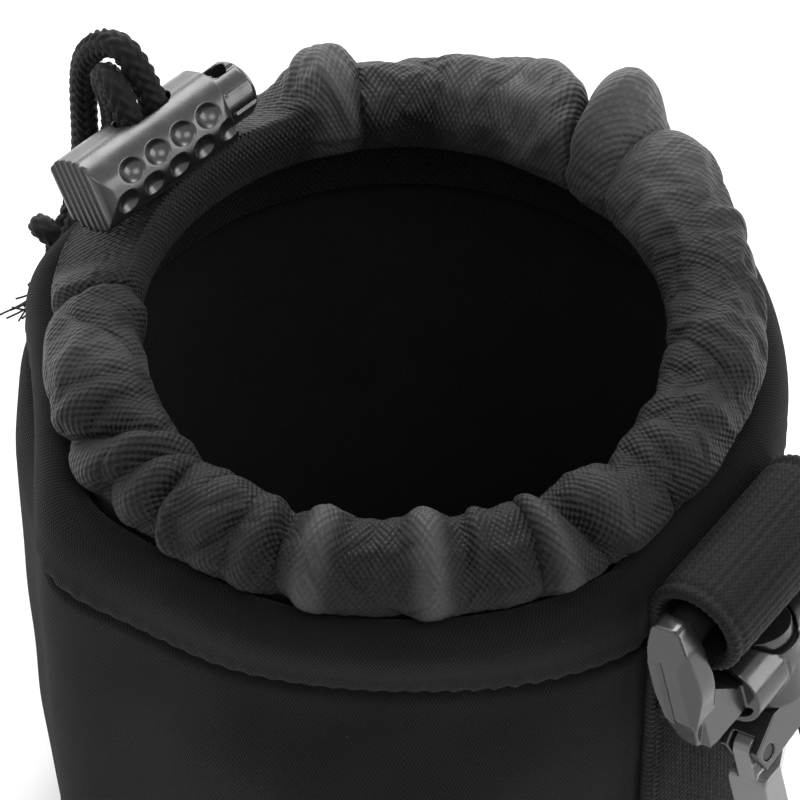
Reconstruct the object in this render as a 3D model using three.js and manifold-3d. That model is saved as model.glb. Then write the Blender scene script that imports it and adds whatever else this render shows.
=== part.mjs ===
// A drawstring lens pouch: a padded neoprene cup with a rolled hem, a gathered nylon collar closed by
// a drawcord with a spring lock, and a strap of webbing that carries a swivel snap hook.
// Millimetres, +Z up. The origin is the middle of the pouch's underside. The front faces -Y.
import * as THREE from "three";
import { mergeVertices } from "three/addons/utils/BufferGeometryUtils.js";
import Module from "manifold-3d";

const wasm = await Module();
wasm.setup();

// Driving dimensions: the padded body.
const pouchRadius = 45;
const bottomRadius = 44;
const pouchHeight = 92;
const wallThickness = 5;
const baseThickness = 4.5;
const hemDepth = 12;
const hemBulge = 0.4;
const hemInnerRoll = 0.6;
const stitchGroove = 0.6;
const hemRound = 2.4;
const cornerBulge = 3.2;
const cornerBearing = -59;
const cornerWidth = 11;
const sideHollow = 2;
const sideBearing = -84;
const sideWidth = 14;
const backBulge = 2.4;
const backBearing = -109;
const backWidth = 9;
const ringSegments = 120;
const clearance = 0.3;

// Driving dimensions: the gathered collar and its drawcord.
const collarThickness = 0.8;
const collarRise = 8.8;
const collarReach = 13.8;
const collarOverhang = 3.4;
const skirtDepth = 13;
const cordDiameter = 3.6;
const cordInset = 0.2;
const cordDrop = 6.65;
const gatherDepth = 1;

// The collar's folds: bearing at the hem and at the mouth and width, in degrees from the front, and how
// far the fold stands out, in gather depths. A fold below zero is a crease.
const collarFolds = [
  [-172, -171, 3, -1.6], [-166, -166, 7, 2.8], [-112, -112, 4, -0.8], [-100, -104, 7, 1],
  [-87, -96, 3, -1.8], [-78, -72, 9, 1.2], [-70, -56, 3, -2], [-63, -52, 5, 1], [-56, -48, 3, -1.6],
  [-49, -45, 4, 0.8], [-44, -42, 3, -1.2], [-40, -38, 3, 0.9], [-29, -29, 7, 0.8], [-21, -20, 3, -1.2],
  [-16, -15, 3, 1.3], [-6, -6, 5, 0.5], [-1, -1, 3, -0.5], [5, 4, 3, 1.2], [10, 10, 3, -0.7],
  [14, 14, 6, 0.5], [26, 25, 3, 1.1], [36, 28, 3, -1.5], [40, 38, 5, 0.8], [48, 48, 5, -1.2],
  [57, 58, 6, 0.7], [64, 65, 4, -0.8], [74, 72, 7, 0.6], [82, 84, 4, -0.9], [92, 92, 7, 0.6],
  [102, 101, 4, -1], [114, 113, 9, 1], [126, 127, 3, -1.4], [136, 136, 8, 1.8],
  [144, 142, 3, -2.8], [165, 165, 11, 1.6], [178, 177, 6, -0.8],
];

// Driving dimensions: the cord lock. Its barrel lies along the rim and leans outwards.
const lockBearing = -124.6;
const lockOutset = 2.4;
const lockRise = 2.6;
const lockHeading = 45;
const lockPressShift = -3.5;
const lockPressFull = 23.5;
const lockPressEnd = 37;
const lockLean = 30;
const barrelLength = 21;
const barrelWidth = 10.4;
const barrelDepth = 9.8;
const barrelCorner = 1.6;
const barrelRound = 1.5;
const boreDiameter = 7.8;
const boreEndWall = 1.6;
const slotCentre = 1.8;
const slotWidth = 4.3;
const strandGap = 0.3;
const plungerTravel = 2.4;
const plungerReach = 5.5;
const plungerPlay = 0.3;
const plungerEndWall = 1.5;
const plungerRound = 1.6;
const gripGroove = 0.45;
const lanyardHole = 2.8;
const dimpleRadius = 2.1;
const dimpleDepth = 1;
const dimplePitch = 4.1;
const dimpleShift = 0.8;
const dimpleRows = [1.7, -2.2];
const fluteCount = 6;
const fluteDepth = 0.5;
const springWire = 0.5;
const springDiameter = 5.2;
const springTurns = 3;
const lockDip = 4;

// Driving dimensions: the strap and the swivel hook.
const strapBearing = 53.8;
const strapWidth = 25;
const strapThickness = 1.5;
const strapInset = 1.7;
const strapFlatReach = 60;
const strapFoot = 14;
const loopRadius = 6;
const loopDrop = 3;
const pinchDrop = 9;
const lapLength = 10;
const eyeLean = 15;
const barGap = 0.4;
const barSink = 0.5;
const armGap = 0.7;
const eyeRound = 1;
const eyeGroove = 0.35;
const eyeBar = 4.6;
const eyeThickness = 5.4;
const eyeArm = 5;
const eyeLength = 16;
const hubRadius = 4.4;
const hubLength = 8;
const postRadius = 2.5;
const postHeadRadius = 3.7;
const postHeadHeight = 1.6;
const hookHalfWidth = 9;
const hookStem = 4;
const hookThickness = 5.4;
const hookStraight = 19;
const hookNeck = 5.4;
const neckHalf = 4.2;
const noseDrop = 2;
const noseHook = 1.2;
const noseRise = 1.4;
const gateEar = 2.4;
const gateLip = 0.9;
const gatePinInset = 2.6;
const gatePinRise = 1.2;
const pinPlay = 0.1;
const gatePinRadius = 1;
const gatePlay = 0.35;
const leafThickness = 0.5;
const leafWidth = 1.8;
const leafReach = 6.5;

const degrees = Math.PI / 180;

// The unit vector that points straight out of the pouch at a bearing measured from the front.
const outwards = (bearing) =>
  new THREE.Vector3(Math.sin(bearing * degrees), -Math.cos(bearing * degrees), 0);

// The shortest turn from one bearing to another, in degrees.
function turnBetween(from, to) {
  return ((((to - from) % 360) + 540) % 360) - 180;
}

// A round hump that is 1 at the middle and fades to 0.
const hump = (distance, width) => Math.exp(-((distance / width) ** 2));

// A smooth step from 0 to 1 between two limits.
const smooth = (low, high, value) => THREE.MathUtils.smoothstep(value, low, high);

// Solids and cuts.
function toSolid(geometry) {
  const bare = geometry.index ? geometry.toNonIndexed() : geometry.clone();
  bare.deleteAttribute("normal");
  bare.deleteAttribute("uv");
  const merged = mergeVertices(bare, 1e-4);
  const vertProperties = new Float32Array(merged.attributes.position.array);
  const corners = [];
  for (let i = 0; i < merged.index.count; i += 3) {
    const [a, b, c] = merged.index.array.slice(i, i + 3);
    if (a !== b && b !== c && c !== a) corners.push(a, b, c);
  }
  const triVerts = new Uint32Array(corners);
  return new wasm.Manifold(new wasm.Mesh({ numProp: 3, vertProperties, triVerts }));
}

function toGeometry(solid) {
  const mesh = solid.getMesh();
  const geometry = new THREE.BufferGeometry();
  geometry.setAttribute("position", new THREE.BufferAttribute(new Float32Array(mesh.vertProperties), 3));
  geometry.setIndex(new THREE.BufferAttribute(new Uint32Array(mesh.triVerts), 1));
  return geometry;
}

const joined = (...pieces) => pieces.map(toSolid).reduce((all, next) => all.add(next));
const cut = (solid, ...tools) => tools.map(toSolid).reduce((left, tool) => left.subtract(tool), solid);

// Turns a flat closed outline about the Z axis. place() may move each point of the ring by its bearing.
function turned(outline, segments, place) {
  const closed = outline.map(([r, z]) => new THREE.Vector2(r, z));
  const geometry = new THREE.LatheGeometry(closed, segments);
  const spots = geometry.attributes.position;
  for (let i = 0; i < spots.count; i += 1) {
    const radius = Math.hypot(spots.getX(i), spots.getZ(i));
    const bearing = Math.atan2(spots.getX(i), spots.getZ(i)) / degrees;
    const [r, z] = place(i % closed.length, bearing, radius, spots.getY(i));
    spots.setXYZ(i, r * Math.sin(bearing * degrees), -r * Math.cos(bearing * degrees), z);
  }
  return geometry;
}

// A plate cut to an outline in the X-Z plane, centred on its thickness along Y, with rounded edges.
function plate(outline, thickness, bevel = 0, curveSegments = 6) {
  const geometry = new THREE.ExtrudeGeometry(outline, {
    depth: thickness - 2 * bevel,
    bevelEnabled: bevel > 0,
    bevelThickness: bevel,
    bevelSize: bevel,
    bevelOffset: -bevel,
    bevelSegments: 2,
    curveSegments,
  });
  geometry.translate(0, 0, bevel - thickness / 2);
  geometry.rotateX(Math.PI / 2);
  return geometry;
}

function roundedRectangle(left, low, right, high, corner) {
  const shape = new THREE.Shape();
  shape.moveTo(left + corner, low);
  shape.lineTo(right - corner, low);
  shape.absarc(right - corner, low + corner, corner, -Math.PI / 2, 0);
  shape.lineTo(right, high - corner);
  shape.absarc(right - corner, high - corner, corner, 0, Math.PI / 2);
  shape.lineTo(left + corner, high);
  shape.absarc(left + corner, high - corner, corner, Math.PI / 2, Math.PI);
  shape.lineTo(left, low + corner);
  shape.absarc(left + corner, low + corner, corner, Math.PI, 1.5 * Math.PI);
  return shape;
}

// A tube of a few sides along a smooth curve through the points.
function tube(points, diameter, sides, steps) {
  const ring = [];
  for (let i = 0; i < sides; i += 1) {
    const turn = (2 * Math.PI * i) / sides;
    ring.push(new THREE.Vector2(Math.cos(turn) * diameter / 2, Math.sin(turn) * diameter / 2));
  }
  const path = points.isCurve ? points : new THREE.CatmullRomCurve3(points, false, "centripetal");
  const section = new THREE.Shape(ring);
  return new THREE.ExtrudeGeometry(section, { steps, bevelEnabled: false, extrudePath: path });
}

// A rod of a round section along one axis of its group.
function rod(radius, from, to, axis, sides = 16) {
  const geometry = new THREE.CylinderGeometry(radius, radius, to - from, sides);
  geometry.translate(0, (from + to) / 2, 0);
  if (axis === "x") geometry.rotateZ(-Math.PI / 2);
  if (axis === "z") geometry.rotateX(Math.PI / 2);
  return geometry;
}

function box(low, high) {
  const size = high.map((value, i) => value - low[i]);
  const geometry = new THREE.BoxGeometry(...size);
  geometry.translate(...high.map((value, i) => (value + low[i]) / 2));
  return geometry;
}

// Heights and radii that follow from the driving dimensions.
const hemStart = pouchHeight - hemDepth;
const strapFlat = pouchRadius - strapInset;
const collarInnerRadius = pouchRadius - collarReach;
const hemInner = pouchRadius - wallThickness - hemInnerRoll;
const skirtRadius = hemInner - 2 * clearance - collarThickness / 2;
const collarTop = pouchHeight + collarRise;
const rollHalf = (skirtRadius - collarInnerRadius) / 2;
const rollRadius = collarInnerRadius + rollHalf;
const bandRadius = (collarInnerRadius + skirtRadius + collarOverhang) / 2;
const bandHeight = collarTop - 0.6 * collarRise;
const cordRingRadius = rollRadius - cordInset;
const cordRingHeight = collarTop - cordDrop;
const loopHeight = pouchHeight - loopDrop;
const strapPinch = loopHeight - pinchDrop;

// The soft wall's departure from round: a slumped corner at the front left, a hollow in the hem beside it,
// a bulge behind that, and a flat behind the strap.
function wallShift(bearing, height) {
  const corner = cornerBulge * hump(turnBetween(cornerBearing, bearing), cornerWidth);
  const bulge = backBulge * hump(turnBetween(backBearing, bearing), backWidth);
  const drawnIn = smooth(hemStart - hemDepth, hemStart, height);
  const hollow = sideHollow * drawnIn * hump(turnBetween(sideBearing, bearing), sideWidth);
  const fade = smooth(0, 0.3 * pouchHeight, height) * (1 - 0.3 * smooth(hemStart, pouchHeight, height));
  const turn = turnBetween(strapBearing, bearing);
  const straight = strapFlat / Math.cos(turn * degrees) - pouchRadius - hemBulge;
  const flat = Math.abs(turn) < strapFlatReach ? straight : 0;
  return (corner + bulge - hollow) * fade + Math.min(0, flat);
}

// Sub-part: the padded wall with its rolled hem.
function neopreneWall() {
  const inner = pouchRadius - wallThickness;
  const innerFoot = bottomRadius - wallThickness;
  const round = hemRound;
  const outline = [
    [innerFoot, 0], [bottomRadius - 0.4 * round, 0], [bottomRadius, 0.5 * round],
    [pouchRadius, 0.6 * pouchHeight], [pouchRadius, hemStart - 3 * round],
    [pouchRadius, hemStart - 0.35 * round], [pouchRadius - stitchGroove, hemStart],
    [pouchRadius + hemBulge, hemStart + 0.6 * round], [pouchRadius + hemBulge, pouchHeight - 2 * round],
    [pouchRadius - 0.4 * round, pouchHeight - 0.4 * round], [pouchRadius - round, pouchHeight],
    [hemInner + 0.5 * round, pouchHeight - 0.12 * round], [hemInner, pouchHeight - 0.7 * round],
    [hemInner, hemStart], [inner, hemStart - 0.6 * round], [innerFoot, 0],
  ];
  return turned(outline, ringSegments, (index, bearing, r, z) => [r + wallShift(bearing, z), z]);
}

// Sub-part: the round floor of the cup, let into the bottom of the wall.
function basePanel() {
  const edge = bottomRadius - wallThickness - clearance;
  const outline = [[0, 0], [edge, 0], [edge, baseThickness], [0, baseThickness]];
  return turned(outline, ringSegments, (index, bearing, r, z) => [
    r + (r / edge) * wallShift(bearing, 0), z,
  ]);
}

// The collar is one strip of nylon: a skirt sewn inside the hem, then a roll folded round the drawcord.
// skirt is how far a station follows the wall, puff how far it follows the folds, and mouth its way from
// the hem to the mouth.
const shoulder = skirtRadius + collarOverhang;
const station = (r, z, skirt, puff, mouth) => ({ r, z, skirt, puff, mouth });
const collarLine = [
  station(skirtRadius, pouchHeight - skirtDepth, 1, 0, 0),
  station(skirtRadius, pouchHeight - 0.06 * collarRise, 1, 0, 0),
  station(shoulder - 0.37 * collarOverhang, pouchHeight + 0.14 * collarRise, 0.7, 0.2, 0.1),
  station(shoulder, pouchHeight + 0.41 * collarRise, 0.4, 0.5, 0.25),
  station(shoulder - 0.33 * collarOverhang, pouchHeight + 0.75 * collarRise, 0.2, 0.8, 0.45),
  station(rollRadius + 0.73 * rollHalf, collarTop, 0, 1, 0.65),
  station(rollRadius - 0.22 * rollHalf, collarTop, 0, 0.9, 0.85),
  station(collarInnerRadius + 0.2 * rollHalf, collarTop - 0.2 * collarRise, 0, 0.5, 1),
  station(collarInnerRadius, collarTop - 0.55 * collarRise, 0, 0.25, 1),
  station(collarInnerRadius + 0.2 * rollHalf, collarTop - 0.89 * collarRise, 0, 0.1, 1),
  station(collarInnerRadius + 0.9 * rollHalf, collarTop - 1.16 * collarRise, 0, 0, 1),
  station(skirtRadius - 0.5 * rollHalf, collarTop - 1.2 * collarRise, 1, 0, 1),
];

// How far the folds stand out of the roll at a bearing, on the way from the hem to the mouth.
function foldsAt(bearing, mouth) {
  return collarFolds.reduce((sum, [atHem, atMouth, width, height]) => {
    const ridge = THREE.MathUtils.lerp(atHem, atMouth, mouth);
    return sum + gatherDepth * height * hump(turnBetween(ridge, bearing), width);
  }, 0);
}

// 1 under the cord lock, where it presses the collar down, and 0 away from it.
function underLock(bearing) {
  const turn = Math.abs(turnBetween(lockBearing + lockPressShift, bearing));
  return 1 - smooth(lockPressFull, lockPressEnd, turn);
}

function collarPoint(at, bearing) {
  const press = underLock(bearing);
  const puff = at.puff * foldsAt(bearing, at.mouth) * (1 - press);
  const across = at.r - bandRadius;
  const up = at.z - bandHeight;
  const reach = Math.hypot(across, up);
  const slope = (rollRadius - at.r) * Math.tan(lockLean * degrees);
  const above = Math.max(0, at.z - (collarTop - lockDip + slope));
  return [
    at.r + (puff * across) / reach + at.skirt * wallShift(bearing, at.z),
    at.z + (puff * up) / reach - press * above,
  ];
}

function nylonCollar() {
  const half = collarThickness / 2;
  const last = collarLine.length - 1;
  const order = [];
  for (let i = 0; i <= last; i += 1) order.push({ at: i, side: 1 });
  for (let i = last; i >= 0; i -= 1) order.push({ at: i, side: -1 });
  order.push(order[0]);
  const outline = order.map(({ at }) => [collarLine[at].r, collarLine[at].z]);
  const strip = turned(outline, ringSegments, (index, bearing) => {
    const { at, side } = order[index];
    const [r, z] = collarPoint(collarLine[at], bearing);
    const before = collarPoint(collarLine[Math.max(0, at - 1)], bearing);
    const after = collarPoint(collarLine[Math.min(last, at + 1)], bearing);
    const along = new THREE.Vector2(after[0] - before[0], after[1] - before[1]).normalize();
    return [r + side * half * along.y, z - side * half * along.x];
  });
  const reach = slotHalf + cordDiameter;
  const opening = box(
    [slotCentre - reach - cordDiameter / 2, -0.8 * slotWidth, -0.92 * barrelDepth],
    [slotCentre + reach + cordDiameter / 4, 0.8 * slotWidth, 0]);
  opening.applyMatrix4(lockMatrix);
  return toGeometry(cut(toSolid(strip), opening));
}

// The lock's own frame: X along the barrel to the button, Z along the cords, Y outwards and down.
const lockX = new THREE.Vector3(Math.cos(lockHeading * degrees), Math.sin(lockHeading * degrees), 0);
const lockOut = new THREE.Vector3(-lockX.y, lockX.x, 0);
const lockZ = new THREE.Vector3(0, 0, Math.cos(lockLean * degrees))
  .addScaledVector(lockOut, Math.sin(lockLean * degrees));
const lockY = new THREE.Vector3().crossVectors(lockZ, lockX);
const lockPlace = outwards(lockBearing).multiplyScalar(rollRadius + lockOutset).setZ(collarTop + lockRise);
const lockMatrix = new THREE.Matrix4().makeBasis(lockX, lockY, lockZ).setPosition(lockPlace);
const fromLock = (x, y, z) => new THREE.Vector3(x, y, z).applyMatrix4(lockMatrix);

const strandPitch = cordDiameter + strandGap;
const strandAt = [slotCentre + strandPitch / 2, slotCentre - strandPitch / 2];
const slotHalf = strandPitch / 2 + cordDiameter / 2 + strandGap;

// Sub-part: the held run of the cord, from the lock down into the channel, round it and back up.
const cordTop = barrelDepth / 4;
const cordBendDepth = barrelDepth / 2 + 0.9 * cordDiameter;

function drawcord() {
  const points = [];
  const dive = [cordTop, 0, -barrelDepth / 2 - 2 * clearance];
  dive.forEach((z) => points.push(fromLock(strandAt[1], 0, z)));
  points.push(fromLock(strandAt[1] - cordDiameter / 3, cordDiameter / 7, -cordBendDepth));
  const first = 11;
  const stepCount = 26;
  for (let i = 0; i <= stepCount; i += 1) {
    const bearing = lockBearing + first + ((360 - 2 * first) * i) / stepCount;
    points.push(outwards(bearing).multiplyScalar(cordRingRadius).setZ(cordRingHeight));
  }
  points.push(fromLock(strandAt[0] + cordDiameter / 3, cordDiameter / 4, -cordBendDepth));
  dive.reverse().forEach((z) => points.push(fromLock(strandAt[0], 0, z)));
  return tube(points, cordDiameter, 8, 72);
}

// Sub-parts: the two free strands, which arch over the back of the rim and hang outside the wall. Each
// route starts straight up out of the lock and goes on through points given in cord diameters from it.
const strandStart = cordTop + clearance;
const strandRoutes = {
  cord_strand_front: {
    at: strandAt[0],
    rise: 0.67,
    route: [
      [-0.67, 1.42, 3.22], [-1.5, 2.36, 3.39], [-2.11, 3.08, 2.56], [-2.31, 3.31, 1.14],
      [-2.39, 3.36, -0.94], [-2.58, 3.39, -3.17], [-2.81, 3.31, -5.11], [-2.94, 3.14, -6.64],
    ],
  },
  cord_strand_back: {
    at: strandAt[1],
    rise: 0.33,
    route: [
      [-1.39, 0.5, 2.67], [-2.06, 1.33, 2.67], [-2.5, 1.89, 1.78], [-2.69, 2.11, 0.44],
      [-2.83, 2.19, -1.5], [-3.06, 2.19, -3.44], [-3.22, 2.17, -5.11], [-3.25, 2.11, -6.64],
    ],
  },
};
const inCords = (x, y, z) => new THREE.Vector3(x, y, z).multiplyScalar(cordDiameter);

function cordStrand({ at, rise, route }) {
  const points = [fromLock(at, 0, strandStart), fromLock(at, 0, barrelDepth / 2 + rise * cordDiameter)];
  route.forEach((offset) => points.push(inCords(...offset).add(lockPlace)));
  return tube(points, cordDiameter, 8, 16);
}

// Sub-part: the overhand knot that ties both ends together, with its two short tails.
const knotOffset = inCords(-3.11, 2.64, -8);
const knotRadius = 1.2 * cordDiameter;

function cordKnot() {
  const ball = new THREE.SphereGeometry(knotRadius, 12, 8);
  ball.scale(1, 1, 1.08);
  const belt = new THREE.TorusGeometry(knotRadius - 0.3 * cordDiameter, cordDiameter / 2, 6, 12);
  belt.rotateX(70 * degrees);
  const tails = [-1, 1].map((side) => tube([
    inCords(0.17 * side, 0.53 * side, 0),
    inCords(0.11 * side, 0.58 * side, -1.67),
    inCords(-0.11, 0.64 * side, -3.06),
  ], cordDiameter, 8, 3));
  const geometry = toGeometry(joined(ball, belt, ...tails));
  geometry.translate(...lockPlace.clone().add(knotOffset));
  return geometry;
}

// Sub-part: the lock's barrel, with a bore for the plunger, a slot for both cords and moulded grips.
const barrelBack = -barrelLength / 2;
const barrelFront = barrelLength / 2;
const boreRadius = boreDiameter / 2;
const slotCorner = 0.475 * slotWidth;

function lockBarrel() {
  const shape = new THREE.Shape();
  const halfWidth = barrelWidth / 2;
  const corner = barrelCorner;
  shape.moveTo(barrelFront, -halfWidth + corner);
  shape.absarc(barrelFront - corner, halfWidth - corner, corner, 0, Math.PI / 2);
  shape.lineTo(barrelBack + corner, halfWidth);
  for (let i = 0; i <= 2 * fluteCount; i += 1) {
    const across = halfWidth - corner - ((barrelWidth - 2 * corner) * i) / (2 * fluteCount);
    shape.lineTo(barrelBack + (i % 2 ? fluteDepth : 0), across);
  }
  shape.lineTo(barrelBack + corner, -halfWidth);
  shape.absarc(barrelFront - corner, corner - halfWidth, corner, -Math.PI / 2, 0);
  const body = new THREE.ExtrudeGeometry(shape, {
    depth: barrelDepth - 2 * barrelRound,
    bevelThickness: barrelRound,
    bevelSize: 0.6 * barrelRound,
    bevelOffset: -0.6 * barrelRound,
    bevelSegments: 2,
    curveSegments: 3,
  });
  body.translate(0, 0, barrelRound - barrelDepth / 2);
  const bore = rod(boreRadius, barrelBack + boreEndWall, barrelFront + boreEndWall, "x", 18);
  const slotOutline = roundedRectangle(
    slotCentre - slotHalf, -slotWidth / 2, slotCentre + slotHalf, slotWidth / 2, slotCorner);
  const slot = plate(slotOutline, 2 * barrelDepth);
  slot.rotateX(-Math.PI / 2);
  const dimples = [];
  for (const face of [-1, 1]) {
    for (const row of [0, 1]) {
      for (let i = 0; i < 4 + row; i += 1) {
        const dimple = new THREE.SphereGeometry(dimpleRadius, 10, 7);
        const along = (i - (3 + row) / 2) * dimplePitch + dimpleShift;
        const out = barrelWidth / 2 + dimpleRadius - dimpleDepth;
        dimple.translate(along, face * out, dimpleRows[row]);
        dimples.push(dimple);
      }
    }
  }
  return toGeometry(cut(toSolid(body), bore, slot, ...dimples));
}

// Sub-part: the plunger. Its window is longer than the barrel's slot by its travel.
const plungerRadius = boreRadius - plungerPlay;
const windowBack = slotCentre - slotHalf;
const plungerBack = windowBack - plungerEndWall;
const plungerFront = barrelFront + plungerReach;

function lockPlunger() {
  const outline = [
    [0, plungerBack], [plungerRadius, plungerBack], [plungerRadius, plungerFront - plungerRound],
    [plungerRadius - 0.3 * plungerRound, plungerFront - 0.28 * plungerRound],
    [plungerRadius - plungerRound, plungerFront], [0, plungerFront],
  ].map(([r, z]) => new THREE.Vector2(r, z));
  const body = new THREE.LatheGeometry(outline, 18);
  body.rotateZ(-Math.PI / 2);
  const windowOutline = roundedRectangle(
    windowBack, -slotWidth / 2, slotCentre + slotHalf + plungerTravel, slotWidth / 2, slotCorner);
  const window = plate(windowOutline, 4 * plungerRadius);
  window.rotateX(-Math.PI / 2);
  const hole = rod(lanyardHole / 2, -barrelDepth, barrelDepth, "z", 12);
  hole.translate(barrelFront + 0.45 * plungerReach, 0, 0);
  const grooves = [];
  for (let i = 0; i < 6; i += 1) {
    const groove = box(
      [barrelFront + plungerTravel + 2 * plungerPlay, -gripGroove, plungerRadius - gripGroove],
      [plungerFront + gripGroove, gripGroove, plungerRadius + gripGroove]);
    groove.rotateX((i + 0.5) * 60 * degrees);
    grooves.push(groove);
  }
  return toGeometry(cut(toSolid(body), window, hole, ...grooves));
}

// Sub-part: the coil spring behind the plunger. Its least gap to itself is measured and printed.
const springBack = barrelBack + boreEndWall + clearance + springWire / 2;
const springFront = plungerBack - clearance - springWire / 2;

class Helix extends THREE.Curve {
  getPoint(t, target = new THREE.Vector3()) {
    const turn = 2 * Math.PI * springTurns * t;
    const radius = (springDiameter - springWire) / 2;
    const along = THREE.MathUtils.lerp(springBack, springFront, t);
    return target.set(along, radius * Math.cos(turn), radius * Math.sin(turn));
  }
}

function lockSpring() {
  const curve = Object.assign(new Helix(), { isCurve: true });
  const steps = springTurns * 8;
  const spots = curve.getPoints(steps * 4);
  let least = Infinity;
  spots.forEach((spot, i) => {
    for (let j = i + 20; j < spots.length; j += 1) least = Math.min(least, spot.distanceTo(spots[j]));
  });
  console.log(`lock spring: least gap to itself ${(least - springWire).toFixed(2)} mm`);
  return tube(curve, springWire, 5, steps);
}

// The strap's frame at its bearing: along the hook's bar, outwards, and down the hook.
const strapOut = outwards(strapBearing);
const strapAlong = new THREE.Vector3(-strapOut.y, strapOut.x, 0);

// Sub-part: the webbing. It is sewn up the wall, folds over the hook's bar and laps down on itself.
function beltWebbing() {
  const half = strapThickness / 2;
  const wallSide = strapFlat + clearance + half;
  const lapSide = wallSide + strapThickness + clearance;
  const loopOut = wallSide + loopRadius - half;
  const bend = loopRadius - half;
  const toPinch = new THREE.Vector2(lapSide - loopOut, strapPinch - loopHeight);
  const leave = Math.atan2(toPinch.y, toPinch.x) + Math.acos(bend / toPinch.length());
  const line = [[wallSide, strapFoot], [wallSide, loopHeight - loopRadius / 3]];
  const arcSteps = 12;
  for (let i = 0; i <= arcSteps; i += 1) {
    const turn = THREE.MathUtils.lerp(Math.PI, leave, i / arcSteps);
    line.push([loopOut + bend * Math.cos(turn), loopHeight + bend * Math.sin(turn)]);
  }
  const ease = strapThickness / 3;
  line.push([lapSide + ease, strapPinch + ease], [lapSide, strapPinch - 2 * ease]);
  line.push([lapSide, strapPinch - lapLength]);
  const sides = [1, -1].map((side) => line.map(([r, z], i) => {
    const before = line[Math.max(0, i - 1)];
    const after = line[Math.min(line.length - 1, i + 1)];
    const along = new THREE.Vector2(after[0] - before[0], after[1] - before[1]).normalize();
    return new THREE.Vector2(r + side * half * along.y, z - side * half * along.x);
  }));
  const outline = new THREE.Shape([...sides[0], ...sides[1].reverse()]);
  const geometry = new THREE.ExtrudeGeometry(outline, { depth: strapWidth, bevelEnabled: false });
  geometry.translate(0, 0, -strapWidth / 2);
  const up = new THREE.Vector3(0, 0, 1);
  const across = new THREE.Vector3().crossVectors(strapOut, up);
  geometry.applyMatrix4(new THREE.Matrix4().makeBasis(strapOut, up, across));
  return geometry;
}

// The hook's frame: X along the bar, Y out of the strap, Z down the hook. It leans out from the wall.
const eyeOut = strapFlat + 2 * clearance + strapThickness + eyeThickness / 2 + barGap;
const hookZ = strapOut.clone().multiplyScalar(Math.sin(eyeLean * degrees))
  .add(new THREE.Vector3(0, 0, -Math.cos(eyeLean * degrees)));
const hookY = new THREE.Vector3().crossVectors(hookZ, strapAlong);
const eyePlace = strapOut.clone().multiplyScalar(eyeOut).setZ(loopHeight - barSink);
const hookMatrix = new THREE.Matrix4().makeBasis(strapAlong, hookY, hookZ).setPosition(eyePlace);

const eyeInner = strapWidth / 2 + armGap;
const eyeOuter = eyeInner + eyeArm;
const hubTop = eyeLength - hubLength / 2;
const hubBottom = eyeLength + hubLength / 2;

// Sub-part: the hook's eye, a ring round the folded webbing with the swivel's hub in its lower bar.
function hookEye() {
  const barEnd = eyeOuter - eyeRound;
  const bar = plate(
    roundedRectangle(-barEnd, -eyeBar / 2, barEnd, eyeBar / 2, 0.35 * eyeBar), eyeThickness, eyeRound);
  const lower = plate(
    roundedRectangle(-barEnd, hubTop, barEnd, hubTop + eyeBar, 0.3 * eyeBar),
    0.89 * eyeThickness, 0.8 * eyeRound);
  const half = eyeThickness / 2;
  const top = -eyeBar / 2 - 0.6 * eyeRound;
  const side = new THREE.Shape();
  side.moveTo(-half + eyeRound, top);
  side.lineTo(half - eyeRound, top);
  side.quadraticCurveTo(half, -eyeBar / 2, half + eyeRound / 2, eyeRound);
  side.lineTo(half + eyeRound, 0.45 * eyeLength);
  side.lineTo(0.6 * eyeRound, hubTop + eyeBar + eyeRound);
  side.lineTo(-1.6 * eyeRound, hubTop + eyeBar + 0.6 * eyeRound);
  side.lineTo(-half - 0.3 * eyeRound, 0.45 * eyeLength);
  side.lineTo(-half, 0);
  const arms = [-1, 1].map((end) => {
    const arm = plate(side, eyeArm, 0.7 * eyeRound, 3);
    arm.rotateZ(Math.PI / 2);
    arm.translate(end * (eyeInner + eyeArm / 2), 0, 0);
    return arm;
  });
  const hub = rod(hubRadius, hubTop, hubBottom, "z", 20);
  const bore = rod(postRadius + gatePlay, hubTop - postRadius, hubBottom + postRadius, "z", 16);
  const grooves = [-1, 1].map((end) => box(
    [end * eyeOuter - eyeGroove, 0.3 * eyeGroove, -0.3 * eyeLength],
    [end * eyeOuter + eyeGroove, 1.7 * eyeGroove, 1.2 * eyeLength]));
  return toGeometry(cut(joined(bar, lower, ...arms, hub), bore, ...grooves));
}

// The snap hook's outline: a spine, a round bottom and a nose, with the gate's gap on the other side.
const neckTop = hubBottom + gatePlay;
const neckBottom = neckTop + hookNeck;
const bendCentre = neckBottom + hookStraight;
const noseTop = bendCentre - noseDrop;
const gatePivotX = -hookHalfWidth + gatePinInset;
const gatePivotZ = neckBottom - gatePinRise;
const eyeletRadius = hookStem / 2;

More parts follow.
